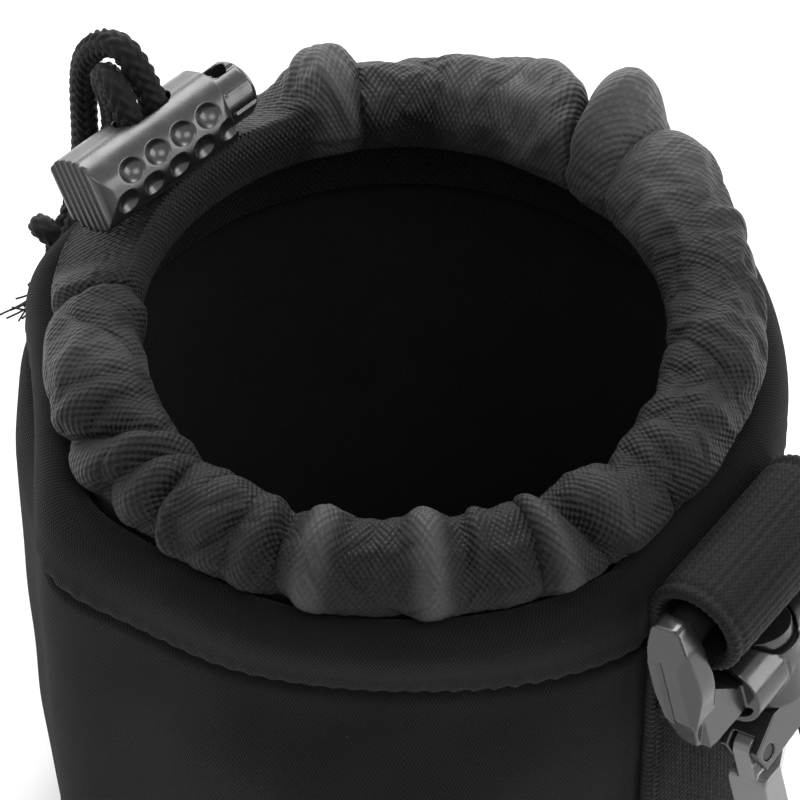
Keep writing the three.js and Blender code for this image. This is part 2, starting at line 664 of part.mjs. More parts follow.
function hookBody() {
  const w = hookHalfWidth;
  const inside = hookHalfWidth - hookStem;
  const ease = 0.15 * hookStem;
  const outline = new THREE.Shape();
  outline.moveTo(-neckHalf, neckTop);
  outline.lineTo(neckHalf, neckTop);
  outline.quadraticCurveTo(w - ease, neckTop + 0.26 * hookNeck, w, neckBottom + 0.16 * hookStraight);
  outline.lineTo(w, bendCentre);
  outline.absarc(0, bendCentre, w, 0, Math.PI);
  outline.lineTo(-w, noseTop);
  outline.lineTo(-w + noseHook, noseTop - noseRise);
  outline.lineTo(-inside, noseTop + noseHook);
  outline.lineTo(-inside, bendCentre);
  outline.absarc(0, bendCentre, inside, Math.PI, 0, true);
  outline.lineTo(inside, neckBottom + 0.18 * hookStraight);
  outline.quadraticCurveTo(inside - ease, neckBottom + ease, 0.35 * hookStem, neckBottom);
  outline.lineTo(-w + 0.4 * hookStem, neckBottom + gateLip);
  outline.quadraticCurveTo(-w + 0.1 * hookStem, neckBottom - 0.48 * hookNeck, -neckHalf, neckTop);
  const body = plate(outline, hookThickness, hookThickness / 6, 8);
  const headLow = hubTop - gatePlay;
  const post = rod(postRadius, headLow - postHeadHeight / 2, neckTop + postHeadHeight, "z", 16);
  const head = rod(postHeadRadius, headLow - postHeadHeight, headLow, "z", 16);
  const slot = box(
    [-w - hookStem, -gateEar / 2 - gatePlay, gatePivotZ - eyeletRadius - gatePlay],
    [gatePivotX + eyeletRadius + gatePlay, gateEar / 2 + gatePlay, neckBottom + hookStem]);
  const seat = box(
    [gatePivotX, -leafWidth / 2 - gatePlay, gatePivotZ - ease],
    [ease, leafWidth / 2 + gatePlay, neckBottom + hookStem]);
  return toGeometry(cut(joined(body, post, head), slot, seat, pinHole()));
}

// The hole for the gate's pin, through the hook's ears and the gate's knuckle.
function pinHole() {
  const hole = rod(gatePinRadius + pinPlay, -hookThickness, hookThickness, "y", 12);
  hole.translate(gatePivotX, 0, gatePivotZ);
  return hole;
}

// Sub-part: the gate, which swings in from its pin and closes on the hook's nose.
function hookGate() {
  const left = -hookHalfWidth + 0.1 * hookStem;
  const right = -hookHalfWidth + hookStem;
  const top = neckBottom + gateLip + gatePlay + gatePinRadius;
  const tip = noseTop - noseRise - gatePlay;
  const blade = new THREE.Shape();
  blade.moveTo(left, top + noseRise);
  blade.quadraticCurveTo(left + 0.05 * hookStem, top, left + 0.4 * hookStem, top);
  blade.lineTo(right, top);
  blade.lineTo(right, noseTop + noseHook - gatePlay);
  blade.lineTo(left + 0.25 * hookStem, tip);
  blade.lineTo(left, tip);
  const body = plate(blade, hookThickness, 0.2 * hookStem, 4);
  const ear = new THREE.Shape();
  ear.absarc(gatePivotX, gatePivotZ, eyeletRadius, Math.PI, 2 * Math.PI);
  ear.lineTo(gatePivotX + 0.75 * eyeletRadius, top + eyeletRadius);
  ear.lineTo(gatePivotX - eyeletRadius, top + eyeletRadius);
  const knuckle = plate(ear, gateEar, 0, 6);
  return toGeometry(cut(joined(body, knuckle), pinHole()));
}

// Sub-part: the pin that the gate turns on.
function gatePin() {
  const half = hookThickness / 2 - 2 * pinPlay;
  const pin = rod(gatePinRadius, -half, half, "y", 12);
  pin.translate(gatePivotX, 0, gatePivotZ);
  return pin;
}

// Sub-part: the leaf spring that holds the gate shut, from the neck down to the gate's inner face.
function gateSpring() {
  const gateFace = -hookHalfWidth + hookStem + clearance;
  const top = gatePivotZ - 2 * pinPlay;
  const low = neckBottom + leafReach;
  const root = -1.2 * leafThickness;
  const leaf = new THREE.Shape();
  leaf.moveTo(root, top);
  leaf.quadraticCurveTo(root - 0.8 * leafThickness, neckBottom + 0.37 * leafReach, gateFace, low);
  leaf.lineTo(gateFace + leafThickness, low + 0.6 * leafThickness);
  leaf.quadraticCurveTo(
    root + 0.6 * leafThickness, neckBottom + 0.4 * leafReach, root + leafThickness, top);
  return plate(leaf, leafWidth, 0, 5);
}

// Materials and the finished assembly.
const finishes = {
  neoprene: { color: 0x161617, roughness: 0.85, metalness: 0 },
  nylon: { color: 0x1a1a1c, roughness: 0.6, metalness: 0 },
  cord: { color: 0x141414, roughness: 0.75, metalness: 0 },
  webbing: { color: 0x1c1c1d, roughness: 0.7, metalness: 0 },
  plastic: { color: 0x121213, roughness: 0.35, metalness: 0 },
  steel: { color: 0x8f9296, roughness: 0.3, metalness: 1 },
};

const group = new THREE.Group();
const lockGroup = new THREE.Group();
const hookGroup = new THREE.Group();
lockMatrix.decompose(lockGroup.position, lockGroup.quaternion, lockGroup.scale);
hookMatrix.decompose(hookGroup.position, hookGroup.quaternion, hookGroup.scale);
group.add(lockGroup, hookGroup);

function place(parent, name, geometry, finish) {
  const mesh = new THREE.Mesh(geometry, new THREE.MeshStandardMaterial(finishes[finish]));
  mesh.name = name;
  parent.add(mesh);
}

place(group, "neoprene_wall", neopreneWall(), "neoprene");
place(group, "base_panel", basePanel(), "neoprene");
place(group, "nylon_collar", nylonCollar(), "nylon");
place(group, "drawcord", drawcord(), "cord");
for (const [name, route] of Object.entries(strandRoutes)) place(group, name, cordStrand(route), "cord");
place(group, "cord_knot", cordKnot(), "cord");
place(lockGroup, "lock_barrel", lockBarrel(), "plastic");
place(lockGroup, "lock_plunger", lockPlunger(), "plastic");
place(lockGroup, "lock_spring", lockSpring(), "steel");
place(group, "belt_webbing", beltWebbing(), "webbing");
place(hookGroup, "hook_eye", hookEye(), "plastic");
place(hookGroup, "hook_body", hookBody(), "plastic");
place(hookGroup, "hook_gate", hookGate(), "plastic");
place(hookGroup, "gate_pin", gatePin(), "steel");
place(hookGroup, "gate_spring", gateSpring(), "steel");

export default group;
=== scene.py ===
# %% Load the frame
import math

import bpy
import numpy as np
from mathutils import Matrix, Vector


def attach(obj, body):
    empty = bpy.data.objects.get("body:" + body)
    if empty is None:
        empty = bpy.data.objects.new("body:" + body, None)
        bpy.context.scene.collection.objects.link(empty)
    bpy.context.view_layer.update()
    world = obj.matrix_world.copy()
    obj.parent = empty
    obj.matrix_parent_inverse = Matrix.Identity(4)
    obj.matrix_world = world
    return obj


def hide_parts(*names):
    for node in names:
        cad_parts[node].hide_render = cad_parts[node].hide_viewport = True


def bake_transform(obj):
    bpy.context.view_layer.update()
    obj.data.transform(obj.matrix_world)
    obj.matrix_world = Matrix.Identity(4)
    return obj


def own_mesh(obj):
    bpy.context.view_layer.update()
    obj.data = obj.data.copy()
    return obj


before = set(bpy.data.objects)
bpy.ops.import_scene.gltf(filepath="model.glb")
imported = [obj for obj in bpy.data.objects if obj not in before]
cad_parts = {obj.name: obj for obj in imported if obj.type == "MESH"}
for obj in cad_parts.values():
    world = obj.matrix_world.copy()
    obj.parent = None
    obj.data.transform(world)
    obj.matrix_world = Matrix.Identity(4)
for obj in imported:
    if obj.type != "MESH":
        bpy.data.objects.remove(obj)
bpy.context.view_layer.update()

# %% [markdown]
# # A padded lens pouch
#
# The pouch is a cup of black neoprene with a rolled and stitched hem. A strip of nylon is gathered
# inside the hem by a drawcord, which a spring lock holds. A strap of webbing carries a snap hook.
#
# Everything soft is modelled again here, finer than the frame's own solids: cloth as grids of points
# that follow a section round the pouch, cords as tubes with a braid in their surface, and moulded
# plastic as joined and cut solids whose edges are softened. All lengths are millimetres until a mesh
# is made. A bearing is the angle round the pouch in degrees, with 0 at the front and 90 on the right.

# %% Small tools for shapes
MM = 0.001
random = np.random.default_rng(11)
STEPS_BETWEEN_POINTS = 24


def unit(vector):
    return np.asarray(vector, float) / np.linalg.norm(vector)


def outwards(bearing):
    """The level direction from the pouch's axis out at a bearing."""
    angle = np.radians(bearing)
    return np.stack([np.sin(angle), -np.cos(angle), np.zeros_like(angle)], axis=-1)


def turned(radius, bearing, height):
    """Points round the pouch's axis."""
    points = np.asarray(radius)[..., None] * outwards(bearing)
    points[..., 2] = height
    return points


def turn_between(start, end):
    """The angle from one bearing to another, from -180 to 180."""
    return (np.asarray(end) - start + 180) % 360 - 180


def hump(distance, width):
    """1 in the middle, and next to nothing two widths away from it."""
    return np.exp(-((distance / width) ** 2))


def swelling(bearing, middle, width, height):
    """A hump of some height round a bearing."""
    return height * hump(turn_between(middle, bearing), width)


def smooth(low, high, value):
    """0 up to low, 1 from high on, and an even rise between them."""
    share = np.clip((value - low) / (high - low), 0, 1)
    return share * share * (3 - 2 * share)


def ripple(turns, seed, counts):
    """A soft random wave round a ring, from -1 to 1, made of the given numbers of waves."""
    waves = np.random.default_rng(seed)
    phases = waves.uniform(0, 2 * math.pi, len(counts))
    weights = waves.uniform(0.5, 1, len(counts))
    total = sum(w * np.sin(n * turns + p) for n, p, w in zip(counts, phases, weights))
    return total / weights.sum()


def distances(points):
    """How far along a line each of its points lies."""
    return np.concatenate([[0], np.cumsum(np.linalg.norm(np.diff(points, axis=0), axis=1))])


def line_length(points):
    return float(distances(points)[-1])


def between(place, low, high, at_low, at_high):
    """The value on a straight line between two others."""
    return (high - place) / (high - low) * at_low + (place - low) / (high - low) * at_high


def smooth_line(points, step, length_axes=3):
    """A curve through the points, with a new point every step along it."""
    points = np.asarray(points, float)
    ends = np.vstack([2 * points[0] - points[1], points, 2 * points[-1] - points[-2]])
    chords = np.linalg.norm(np.diff(ends[:, :length_axes], axis=0), axis=1)
    knots = np.concatenate([[0], np.cumsum(np.sqrt(np.maximum(chords, 1e-6)))])
    fine = []
    for i in range(1, len(ends) - 2):
        k0, k1, k2, k3 = knots[i - 1:i + 3]
        p0, p1, p2, p3 = ends[i - 1:i + 3]
        k = np.linspace(k1, k2, STEPS_BETWEEN_POINTS, endpoint=False)[:, None]
        first = between(k, k0, k1, p0, p1)
        second = between(k, k1, k2, p1, p2)
        third = between(k, k2, k3, p2, p3)
        fine.append(between(k, k1, k2, between(k, k0, k2, first, second), between(k, k1, k3, second, third)))
    return evenly(np.vstack(fine + [points[-1:]]), step, length_axes)


def evenly(points, step, length_axes=3):
    """The same line with its points an equal step apart."""
    along = distances(points[:, :length_axes])
    count = max(2, int(round(along[-1] / step)) + 1)
    places = np.linspace(0, along[-1], count)
    return np.stack([np.interp(places, along, points[:, i]) for i in range(points.shape[1])], axis=1)


def relaxed(points, passes):
    """The same line with its bends eased, because a braid is too stiff to kink. Its ends stay."""
    points = points.copy()
    for _ in range(passes):
        points[1:-1] += (points[:-2] + points[2:] - 2 * points[1:-1]) / 4
    return points


def new_object(name, data):
    thing = bpy.data.objects.new(name, data)
    bpy.context.scene.collection.objects.link(thing)
    return thing


def add_piece(name, mesh, body, material):
    """Shows a mesh as a smooth piece that rides on one of the frame's bodies."""
    piece = new_object(name, mesh)
    mesh.materials.append(material)
    mesh.shade_smooth()
    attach(piece, body)
    return piece


def grid_mesh(name, points, u, v, wrap_u=False, wrap_v=False, keep=None):
    """A mesh from rows and columns of points. u and v are lengths along the cloth, in mm, for its weave."""
    rows, columns = points.shape[:2]
    i, j = np.meshgrid(
        np.arange(rows if wrap_v else rows - 1), np.arange(columns if wrap_u else columns - 1), indexing="ij")
    if keep is not None:
        i, j = i[keep], j[keep]
    i, j = i.ravel(), j.ravel()
    around = [(i, j), (i, j + 1), (i + 1, j + 1), (i + 1, j)]
    faces = np.stack([(a % rows) * columns + b % columns for a, b in around], axis=1)
    mesh = bpy.data.meshes.new(name)
    mesh.from_pydata((points.reshape(-1, 3) * MM).tolist(), [], faces.tolist())
    layer = mesh.uv_layers.new(name="weave")
    spots = np.stack([np.stack([u[b], v[a]], axis=1) for a, b in around], axis=1)
    layer.data.foreach_set("uv", spots.astype(np.float32).ravel())
    mesh.update()
    return mesh


def closed_ends(rows):
    """Rows of points with one more row at each end, drawn together to a point."""
    middles = [np.repeat(rows[end].mean(axis=0)[None, None], rows.shape[1], axis=1) for end in (0, -1)]
    return np.vstack([middles[0], rows, middles[1]])


def baked(piece):
    """The piece's mesh with its modifiers applied."""
    depsgraph = bpy.context.evaluated_depsgraph_get()
    mesh = bpy.data.meshes.new_from_object(piece.evaluated_get(depsgraph))
    piece.modifiers.clear()
    piece.data = mesh
    return mesh


print("Shape tools are ready")

# %% [markdown]
# ## The camera
#
# The picture looks down into the mouth from the front at 50 degrees. A long lens far away keeps the
# ring's ellipse nearly without perspective, as it is in the picture.

# %% Camera
CAMERA_TARGET = np.array([-0.46, -11.9, 97.0])
CAMERA_ELEVATION = 50
CAMERA_DISTANCE = 620
PIXELS_PER_MM = 8.67
FRAME_PIXELS = 800
SENSOR = 36

elevation = math.radians(CAMERA_ELEVATION)
towards_camera = np.array([0, -math.cos(elevation), math.sin(elevation)])
camera_data = bpy.data.cameras.new("camera")
camera_data.sensor_width = SENSOR
camera_data.lens = SENSOR * PIXELS_PER_MM * CAMERA_DISTANCE / FRAME_PIXELS
camera = new_object("camera", camera_data)
camera.location = (CAMERA_TARGET + CAMERA_DISTANCE * towards_camera) * MM
camera.rotation_euler = (math.pi / 2 - elevation, 0, 0)
bpy.context.scene.camera = camera
print("Camera lens", round(camera_data.lens, 1), "mm")

# %% [markdown]
# ## Materials
#
# All the surfaces are black, so what tells them apart is the shape of their surface and how they
# scatter light. Each effect that several materials share is one node group: a weave of crossing
# yarns, fine grain, and stray lint. A group gives out only heights and masks. Each material turns them
# into a normal and a colour on its own shader.

# %% Node groups and materials


class Nodes:
    """A few short ways to add nodes to a tree and join them."""

    def __init__(self, tree):
        self.tree = tree

    def add(self, kind, **values):
        node = self.tree.nodes.new(kind)
        for key, value in values.items():
            setattr(node, key, value)
        return node

    def join(self, socket, value):
        if isinstance(value, bpy.types.NodeSocket):
            self.tree.links.new(value, socket)
        else:
            socket.default_value = value

    def math(self, operation, first, second=0.0):
        node = self.add("ShaderNodeMath", operation=operation)
        self.join(node.inputs[0], first)
        self.join(node.inputs[1], second)
        return node.outputs[0]

    def noise(self, vector, scale, detail=2.0):
        node = self.add("ShaderNodeTexNoise")
        self.join(node.inputs["Vector"], vector)
        self.join(node.inputs["Scale"], scale)
        self.join(node.inputs["Detail"], detail)
        return node.outputs["Fac"]

    def spread(self, value, low, high, to_low, to_high):
        node = self.add("ShaderNodeMapRange")
        for socket, given in zip(node.inputs, (value, low, high, to_low, to_high)):
            self.join(socket, given)
        return node.outputs["Result"]

    def mix(self, share, first, second):
        node = self.add("ShaderNodeMix", data_type="RGBA")
        self.join(node.inputs["Factor"], share)
        self.join(node.inputs[6], first)
        self.join(node.inputs[7], second)
        return node.outputs[2]


def new_group(name, inputs, outputs):
    group = bpy.data.node_groups.new(name, "ShaderNodeTree")
    for label, kind, value in inputs:
        socket = group.interface.new_socket(label, in_out="INPUT", socket_type=kind)
        if value is not None:
            socket.default_value = value
    for label, kind in outputs:
        group.interface.new_socket(label, in_out="OUTPUT", socket_type=kind)
    nodes = Nodes(group)
    return group, nodes, nodes.add("NodeGroupInput").outputs, nodes.add("NodeGroupOutput").inputs


FLOAT = "NodeSocketFloat"
VECTOR = "NodeSocketVector"
YARN_STRAY_SCALE = 0.35
LINT_BEND_SCALE = 1.2
LINT_COLOUR = (0.5, 0.5, 0.48, 1)
WHITE = (1, 1, 1, 1)

weave_group, g, given, result = new_group(
    "crossing yarns",
    [("Vector", VECTOR, None), ("Across", FLOAT, 0.6), ("Along", FLOAT, 0.6), ("Wander", FLOAT, 0.1)],
    [("Height", FLOAT)])
split = g.add("ShaderNodeSeparateXYZ")
g.join(split.inputs[0], given["Vector"])
stray = g.math("MULTIPLY", g.noise(given["Vector"], YARN_STRAY_SCALE), given["Wander"])
waves = []
for axis, pitch in (("X", "Across"), ("Y", "Along")):
    place = g.math("ADD", split.outputs[axis], stray)
    waves.append(g.math("SINE", g.math("DIVIDE", g.math("MULTIPLY", place, 2 * math.pi), given[pitch])))
g.join(result["Height"], g.math("ADD", g.math("MULTIPLY", g.math("MULTIPLY", *waves), 0.5), 0.5))

lint_group, g, given, result = new_group(
    "stray lint",
    [("Vector", VECTOR, None), ("Spacing", FLOAT, 6.0), ("Size", FLOAT, 0.02), ("Share", FLOAT, 0.25)],
    [("Mask", FLOAT)])
bent = g.add("ShaderNodeVectorMath", operation="MULTIPLY_ADD")
g.join(bent.inputs[0], given["Vector"])
bent.inputs[1].default_value = (1, 1, 1)
wobble = g.add("ShaderNodeTexNoise")
g.join(wobble.inputs["Vector"], given["Vector"])
wobble.inputs["Scale"].default_value = LINT_BEND_SCALE
g.join(bent.inputs[2], wobble.outputs["Color"])
cells = g.add("ShaderNodeTexVoronoi")
g.join(cells.inputs["Vector"], bent.outputs[0])
g.join(cells.inputs["Scale"], g.math("DIVIDE", 1.0, given["Spacing"]))
chance = g.add("ShaderNodeSeparateColor")
g.join(chance.inputs[0], cells.outputs["Color"])
near = g.math("LESS_THAN", cells.outputs["Distance"], given["Size"])
chosen = g.math("LESS_THAN", chance.outputs[0], given["Share"])
g.join(result["Mask"], g.math("MULTIPLY", near, chosen))

grain_group, g, given, result = new_group(
    "uneven surface",
    [("Vector", VECTOR, None), ("Coarse", FLOAT, 0.2), ("Fine", FLOAT, 4.0)],
    [("Tone", FLOAT), ("Grain", FLOAT)])
g.join(result["Tone"], g.noise(given["Vector"], given["Coarse"], 4.0))
g.join(result["Grain"], g.noise(given["Vector"], given["Fine"], 2.0))


def use_group(nodes, group, **values):
    node = nodes.add("ShaderNodeGroup", node_tree=group)
    for label, value in values.items():
        nodes.join(node.inputs[label], value)
    return node.outputs


def start_material(name, **constants):
    """A material with one shader. The constants are set straight on the shader's sockets."""
    material = bpy.data.materials.new(name)
    material.use_nodes = True
    nodes = Nodes(material.node_tree)
    shader = material.node_tree.nodes["Principled BSDF"]
    for label, value in constants.items():
        shader.inputs[label.replace("_", " ")].default_value = value
    coordinates = nodes.add("ShaderNodeTexCoord")
    in_mm = nodes.add("ShaderNodeVectorMath", operation="SCALE")
    nodes.join(in_mm.inputs[0], coordinates.outputs["Object"])
    in_mm.inputs["Scale"].default_value = 1 / MM
    return material, nodes, shader, in_mm.outputs[0]


def bump(nodes, shader, height, distance):
    node = nodes.add("ShaderNodeBump")
    node.inputs["Distance"].default_value = distance * MM
    nodes.join(node.inputs["Height"], height)
    nodes.join(shader.inputs["Normal"], node.outputs["Normal"])


def grey(level):
    """A grey with a trace of blue."""
    return (level, level, level * 1.02, 1)


def cloth_material(name, tones, pitch, depth, roughness, shine, sheen, lint, along_cloth=True, ridge_highlight_grey=0.0):
    """Black cloth: yarns that cross at a pitch, an uneven tone and a little lint. The ridges of folds can get
    a painted highlight, a lighter grey.
    """
    material, nodes, shader, place = start_material(
        name, Roughness=roughness, Sheen_Weight=sheen, Sheen_Roughness=0.45, Sheen_Tint=WHITE,
        Specular_IOR_Level=shine)
    weave_place = nodes.add("ShaderNodeUVMap", uv_map="weave").outputs[0] if along_cloth else place
    yarns = use_group(nodes, weave_group, Vector=weave_place, Across=pitch[0], Along=pitch[1])
    uneven = use_group(nodes, grain_group, Vector=place, Coarse=0.12, Fine=2.5)
    stray_lint = use_group(nodes, lint_group, Vector=place, Share=lint)
    height = nodes.math("ADD", nodes.math("MULTIPLY", uneven["Grain"], 0.5), yarns["Height"])
    # The colour follows the yarns: lighter on their tops and darker between them, a painted shade in the
    # gaps. The uneven tone on top of it varies at random.
    tone = nodes.math("MULTIPLY", uneven["Tone"], yarns["Height"])
    colour = nodes.mix(nodes.spread(tone, 0.1, 0.6, 0.0, 1.0), grey(tones[0]), grey(tones[1]))
    # Painted highlight: the colour turns to a lighter grey on the ridges of the folds, as read from a point
    # attribute.
    if ridge_highlight_grey:
        ridge_highlight = nodes.add("ShaderNodeAttribute", attribute_name="ridge_highlight").outputs["Fac"]
        colour = nodes.mix(nodes.math("MULTIPLY", ridge_highlight, 0.8), colour, grey(ridge_highlight_grey))
    nodes.join(shader.inputs["Base Color"], nodes.mix(stray_lint["Mask"], colour, LINT_COLOUR))
    bump(nodes, shader, height, depth)
    return material


neoprene = cloth_material(
    "neoprene jersey", tones=(0.007, 0.014), pitch=(0.45, 0.9), depth=0.10, roughness=0.9, shine=0.04,
    sheen=0.05, lint=0.12)
nylon = cloth_material(
    "woven nylon", tones=(0.002, 0.011), pitch=(0.66, 1.1), depth=0.18, roughness=0.5, shine=0.16,
    sheen=0.04, lint=0.05, ridge_highlight_grey=0.05)
webbing_cloth = cloth_material(
    "ribbed webbing", tones=(0.004, 0.013), pitch=(0.8, 0.5), depth=0.05, roughness=0.6, shine=0.10,
    sheen=0.05, lint=0.04)
cord_yarn = cloth_material(
    "cord yarn", tones=(0.004, 0.014), pitch=(0.3, 0.3), depth=0.05, roughness=0.6, shine=0.10,
    sheen=0.04, lint=0.04, along_cloth=False)
thread = cloth_material(
    "sewing thread", tones=(0.008, 0.022), pitch=(0.2, 0.2), depth=0.02, roughness=0.55, shine=0.15,
    sheen=0.08, lint=0.0, along_cloth=False)


def plastic_material(name, tone, rough, grain, coat=0.0):
    material, nodes, shader, place = start_material(
        name, Base_Color=grey(tone), IOR=1.52, Specular_IOR_Level=0.7, Coat_Weight=coat, Coat_Roughness=0.2)
    uneven = use_group(nodes, grain_group, Vector=place, Coarse=0.5, Fine=5.0)
    nodes.join(shader.inputs["Roughness"], nodes.spread(uneven["Tone"], 0.3, 0.7, rough - 0.05, rough + 0.07))
    bump(nodes, shader, uneven["Grain"], grain)
    return material


lock_plastic = plastic_material("satin plastic", tone=0.010, rough=0.26, grain=0.006)
hook_plastic = plastic_material("moulded plastic", tone=0.014, rough=0.20, grain=0.003)
# The gate is the hook's black plastic painted ten times lighter, a painted highlight. Its coat and low
# roughness are a real polish.
gate_plastic_painted_highlight = plastic_material("polished plastic with painted highlight", tone=0.14, rough=0.16, grain=0.002, coat=0.5)
steel, nodes, shader, place = start_material("spring steel", Base_Color=(0.56, 0.57, 0.59, 1), Metallic=1.0)
brushed = use_group(nodes, grain_group, Vector=place, Coarse=1.5)["Tone"]
nodes.join(shader.inputs["Roughness"], nodes.spread(brushed, 0.3, 0.7, 0.22, 0.38))
black_steel, *_ = start_material(
    "blackened steel", Base_Color=(0.05, 0.05, 0.05, 1), Metallic=1.0, Roughness=0.4)
print("Materials:", ", ".join(material.name for material in bpy.data.materials))

# %% [markdown]
# ## The cords
#
# The free cord ends could be a bezier curve with a round bevel, but a braid shows at this distance. So each
# cord is a tube whose radius follows two families of yarns that wind opposite ways and take
# turns on top. Frames are carried along the line without twisting, so the braid does not jump.

# %% Cord tools
CORD_DIAMETER = 3.6
BRAID_YARNS = 8
BRAID_PITCH = 12.0
BRAID_DEPTH = 0.42
YARN_FLATNESS = 0.2
NO_CORDS_WAY = (0.31, 0.2, 0.93)


def carried_frames(points):
    """Two directions across the line at each point, turned as little as possible."""
    along = np.gradient(points, axis=0)
    along /= np.linalg.norm(along, axis=1)[:, None]
    side = unit(np.cross(along[0], NO_CORDS_WAY))
    sides = []
    for direction in along:
        side = unit(side - direction * np.dot(side, direction))
        sides.append(side)
    sides = np.array(sides)
    return sides, np.cross(along, sides)


def braid_height(turns, lengths):
    """From 0 between the yarns to 1 on top of one. Each yarn goes over two and under two."""
    wind = turns / (2 * math.pi) * BRAID_YARNS
    travel = lengths / BRAID_PITCH * BRAID_YARNS
    first, second = wind + travel, wind - travel
    whole_first, whole_second = np.floor(first), np.floor(second)
    first_on_top = (whole_first + whole_second) % 4 < 2
    heights = []
    for yarn, other, whole in ((first, second, whole_first), (second, first, whole_second)):
        across = np.sin(math.pi * (yarn % 1))
        along = np.sin(math.pi * ((other + whole) % 4) / 2) ** 2
        heights.append(across * along ** YARN_FLATNESS)
    return np.where(first_on_top, *heights)


def cord_mesh(name, line, diameter=CORD_DIAMETER, around=48, depth=BRAID_DEPTH):
    side, other = carried_frames(line)
    lengths = distances(line)
    turns = np.linspace(0, 2 * math.pi, around, endpoint=False)
    height = braid_height(turns[None, :], lengths[:, None])
    radius = diameter / 2 - depth * (1 - height)
    rings = (line[:, None] + radius[..., None] * (
        np.cos(turns)[None, :, None] * side[:, None] + np.sin(turns)[None, :, None] * other[:, None]))
    u = np.arange(around + 1) * math.pi * diameter / around
    return grid_mesh(name, closed_ends(rings), u, np.concatenate([[0], lengths, lengths[-1:]]), wrap_u=True)


def add_cord(name, line, body="cord_lock", material=cord_yarn, **shape):
    return add_piece(name, cord_mesh(name, line, **shape), body, material)


# The cord lock's own frame: X along its barrel to the button, Z up along the cords.
COLLAR_TOP = 100.8
ROLL_RADIUS = 34.8
LOCK_BEARING = -124.6
LOCK_OUT, LOCK_RISE = 2.4, 2.6
LOCK_PLACE = turned(ROLL_RADIUS + LOCK_OUT, LOCK_BEARING, COLLAR_TOP + LOCK_RISE)
LOCK_X = np.array([math.sqrt(0.5), math.sqrt(0.5), 0])
LOCK_Z = np.array([-math.sqrt(0.125), math.sqrt(0.125), math.sqrt(0.75)])
LOCK_Y = np.cross(LOCK_Z, LOCK_X)
LOCK_AXES = np.stack([LOCK_X, LOCK_Y, LOCK_Z])
BARREL_LENGTH, BARREL_WIDTH, BARREL_DEPTH = 21, 10.4, 9.8
STRAND_FRONT, STRAND_BACK = 3.75, -0.15


def from_lock(x, y, z):
    return LOCK_PLACE + np.array([x, y, z]) @ LOCK_AXES


# %% Free strands, knot and drawcord
# Each strand leaves the lock at a place along its barrel, stands straight out of it by a share of a diameter,
# and then goes through points that are given in cord diameters from the middle of the lock. The strands move
# with the lock and the rest of the cord stays, so the cord is parted at a seam inside the lock.
strand_routes = {
    "cord_strand_front": (STRAND_FRONT, 0.67, [
        (-0.67, 2.06, 2.81), (-1.39, 2.75, 2.33), (-2.0, 3.31, 1.06), (-2.19, 3.44, -0.36),
        (-2.22, 3.4, -1.92), (-2.3, 3.4, -4.06), (-2.6, 3.3, -5.94), (-2.8, 3.14, -6.64)]),
    "cord_strand_back": (STRAND_BACK, 0.33, [
        (-0.97, 1.22, 2.06), (-1.39, 2.06, 1.5), (-1.19, 2.75, -0.39), (-1.17, 3.03, -1.78),
        (-1.4, 2.85, -3.72), (-2.35, 2.2, -5.39), (-2.8, 2.05, -6.64)]),
}
CORD_SEAM, STRAND_START = 2.45, 2.75
STRAND_STEP, STRAND_EASING = 0.22, 120
KNOT_PLACE = LOCK_PLACE + CORD_DIAMETER * np.array([-2.9, 2.64, -7.3])
KNOT_SIZE = 1.35
KNOT_CORD, TAIL_CORD, YARN_THICKNESS = 3.2, 3.3, 0.26
YARNS_PER_TAIL = 4

turn = np.linspace(0, 2 * math.pi, 160)
trefoil = np.stack([
    np.sin(turn) + 2 * np.sin(2 * turn),
    np.cos(turn) - 2 * np.cos(2 * turn),
    -1.5 * np.sin(3 * turn)], axis=1)
knot = add_cord("knot", KNOT_PLACE + KNOT_SIZE * trefoil, diameter=KNOT_CORD, around=32)
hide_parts("cord_knot")

for side, end_name in ((-1, "back"), (1, "front")):
    tail = smooth_line(KNOT_PLACE + np.array([
        (0.6 * side, 1.9 * side, 0), (-1.5, 1.6 * side - 0.5, -5), (-4.5, 1.2 * side - 2, -9)]), 0.25)
    add_cord(f"cord_tail_{end_name}", tail, diameter=TAIL_CORD, around=32)
    for i in range(YARNS_PER_TAIL):
        drift = random.normal(0, 0.9, 3)
        end = tail[-1] + random.normal(0, 0.6, 3) * [1, 1, 0]
        hair = smooth_line([
            end + [0.6, 0, 0.6], end + [-1, -0.4, -0.6] + 0.3 * drift, end + [-2.8, -1.2, -1] + drift], 0.2)
        add_cord(
            f"frayed_yarn_{end_name}_{i}", hair, material=thread, diameter=YARN_THICKNESS, around=6, depth=0)

for name, (at, rise, route) in strand_routes.items():
    straight = [from_lock(at, 0, STRAND_START), from_lock(at, 0, BARREL_DEPTH / 2 + rise * CORD_DIAMETER)]
    line = smooth_line(np.vstack([straight, LOCK_PLACE + CORD_DIAMETER * np.array(route)]), STRAND_STEP)
    line = evenly(relaxed(line, STRAND_EASING), STRAND_STEP)
    strand = add_cord(name.replace("cord_", "braided_"), line)
    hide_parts(name)
    print(name, "is", round(line_length(line), 1), "mm long")

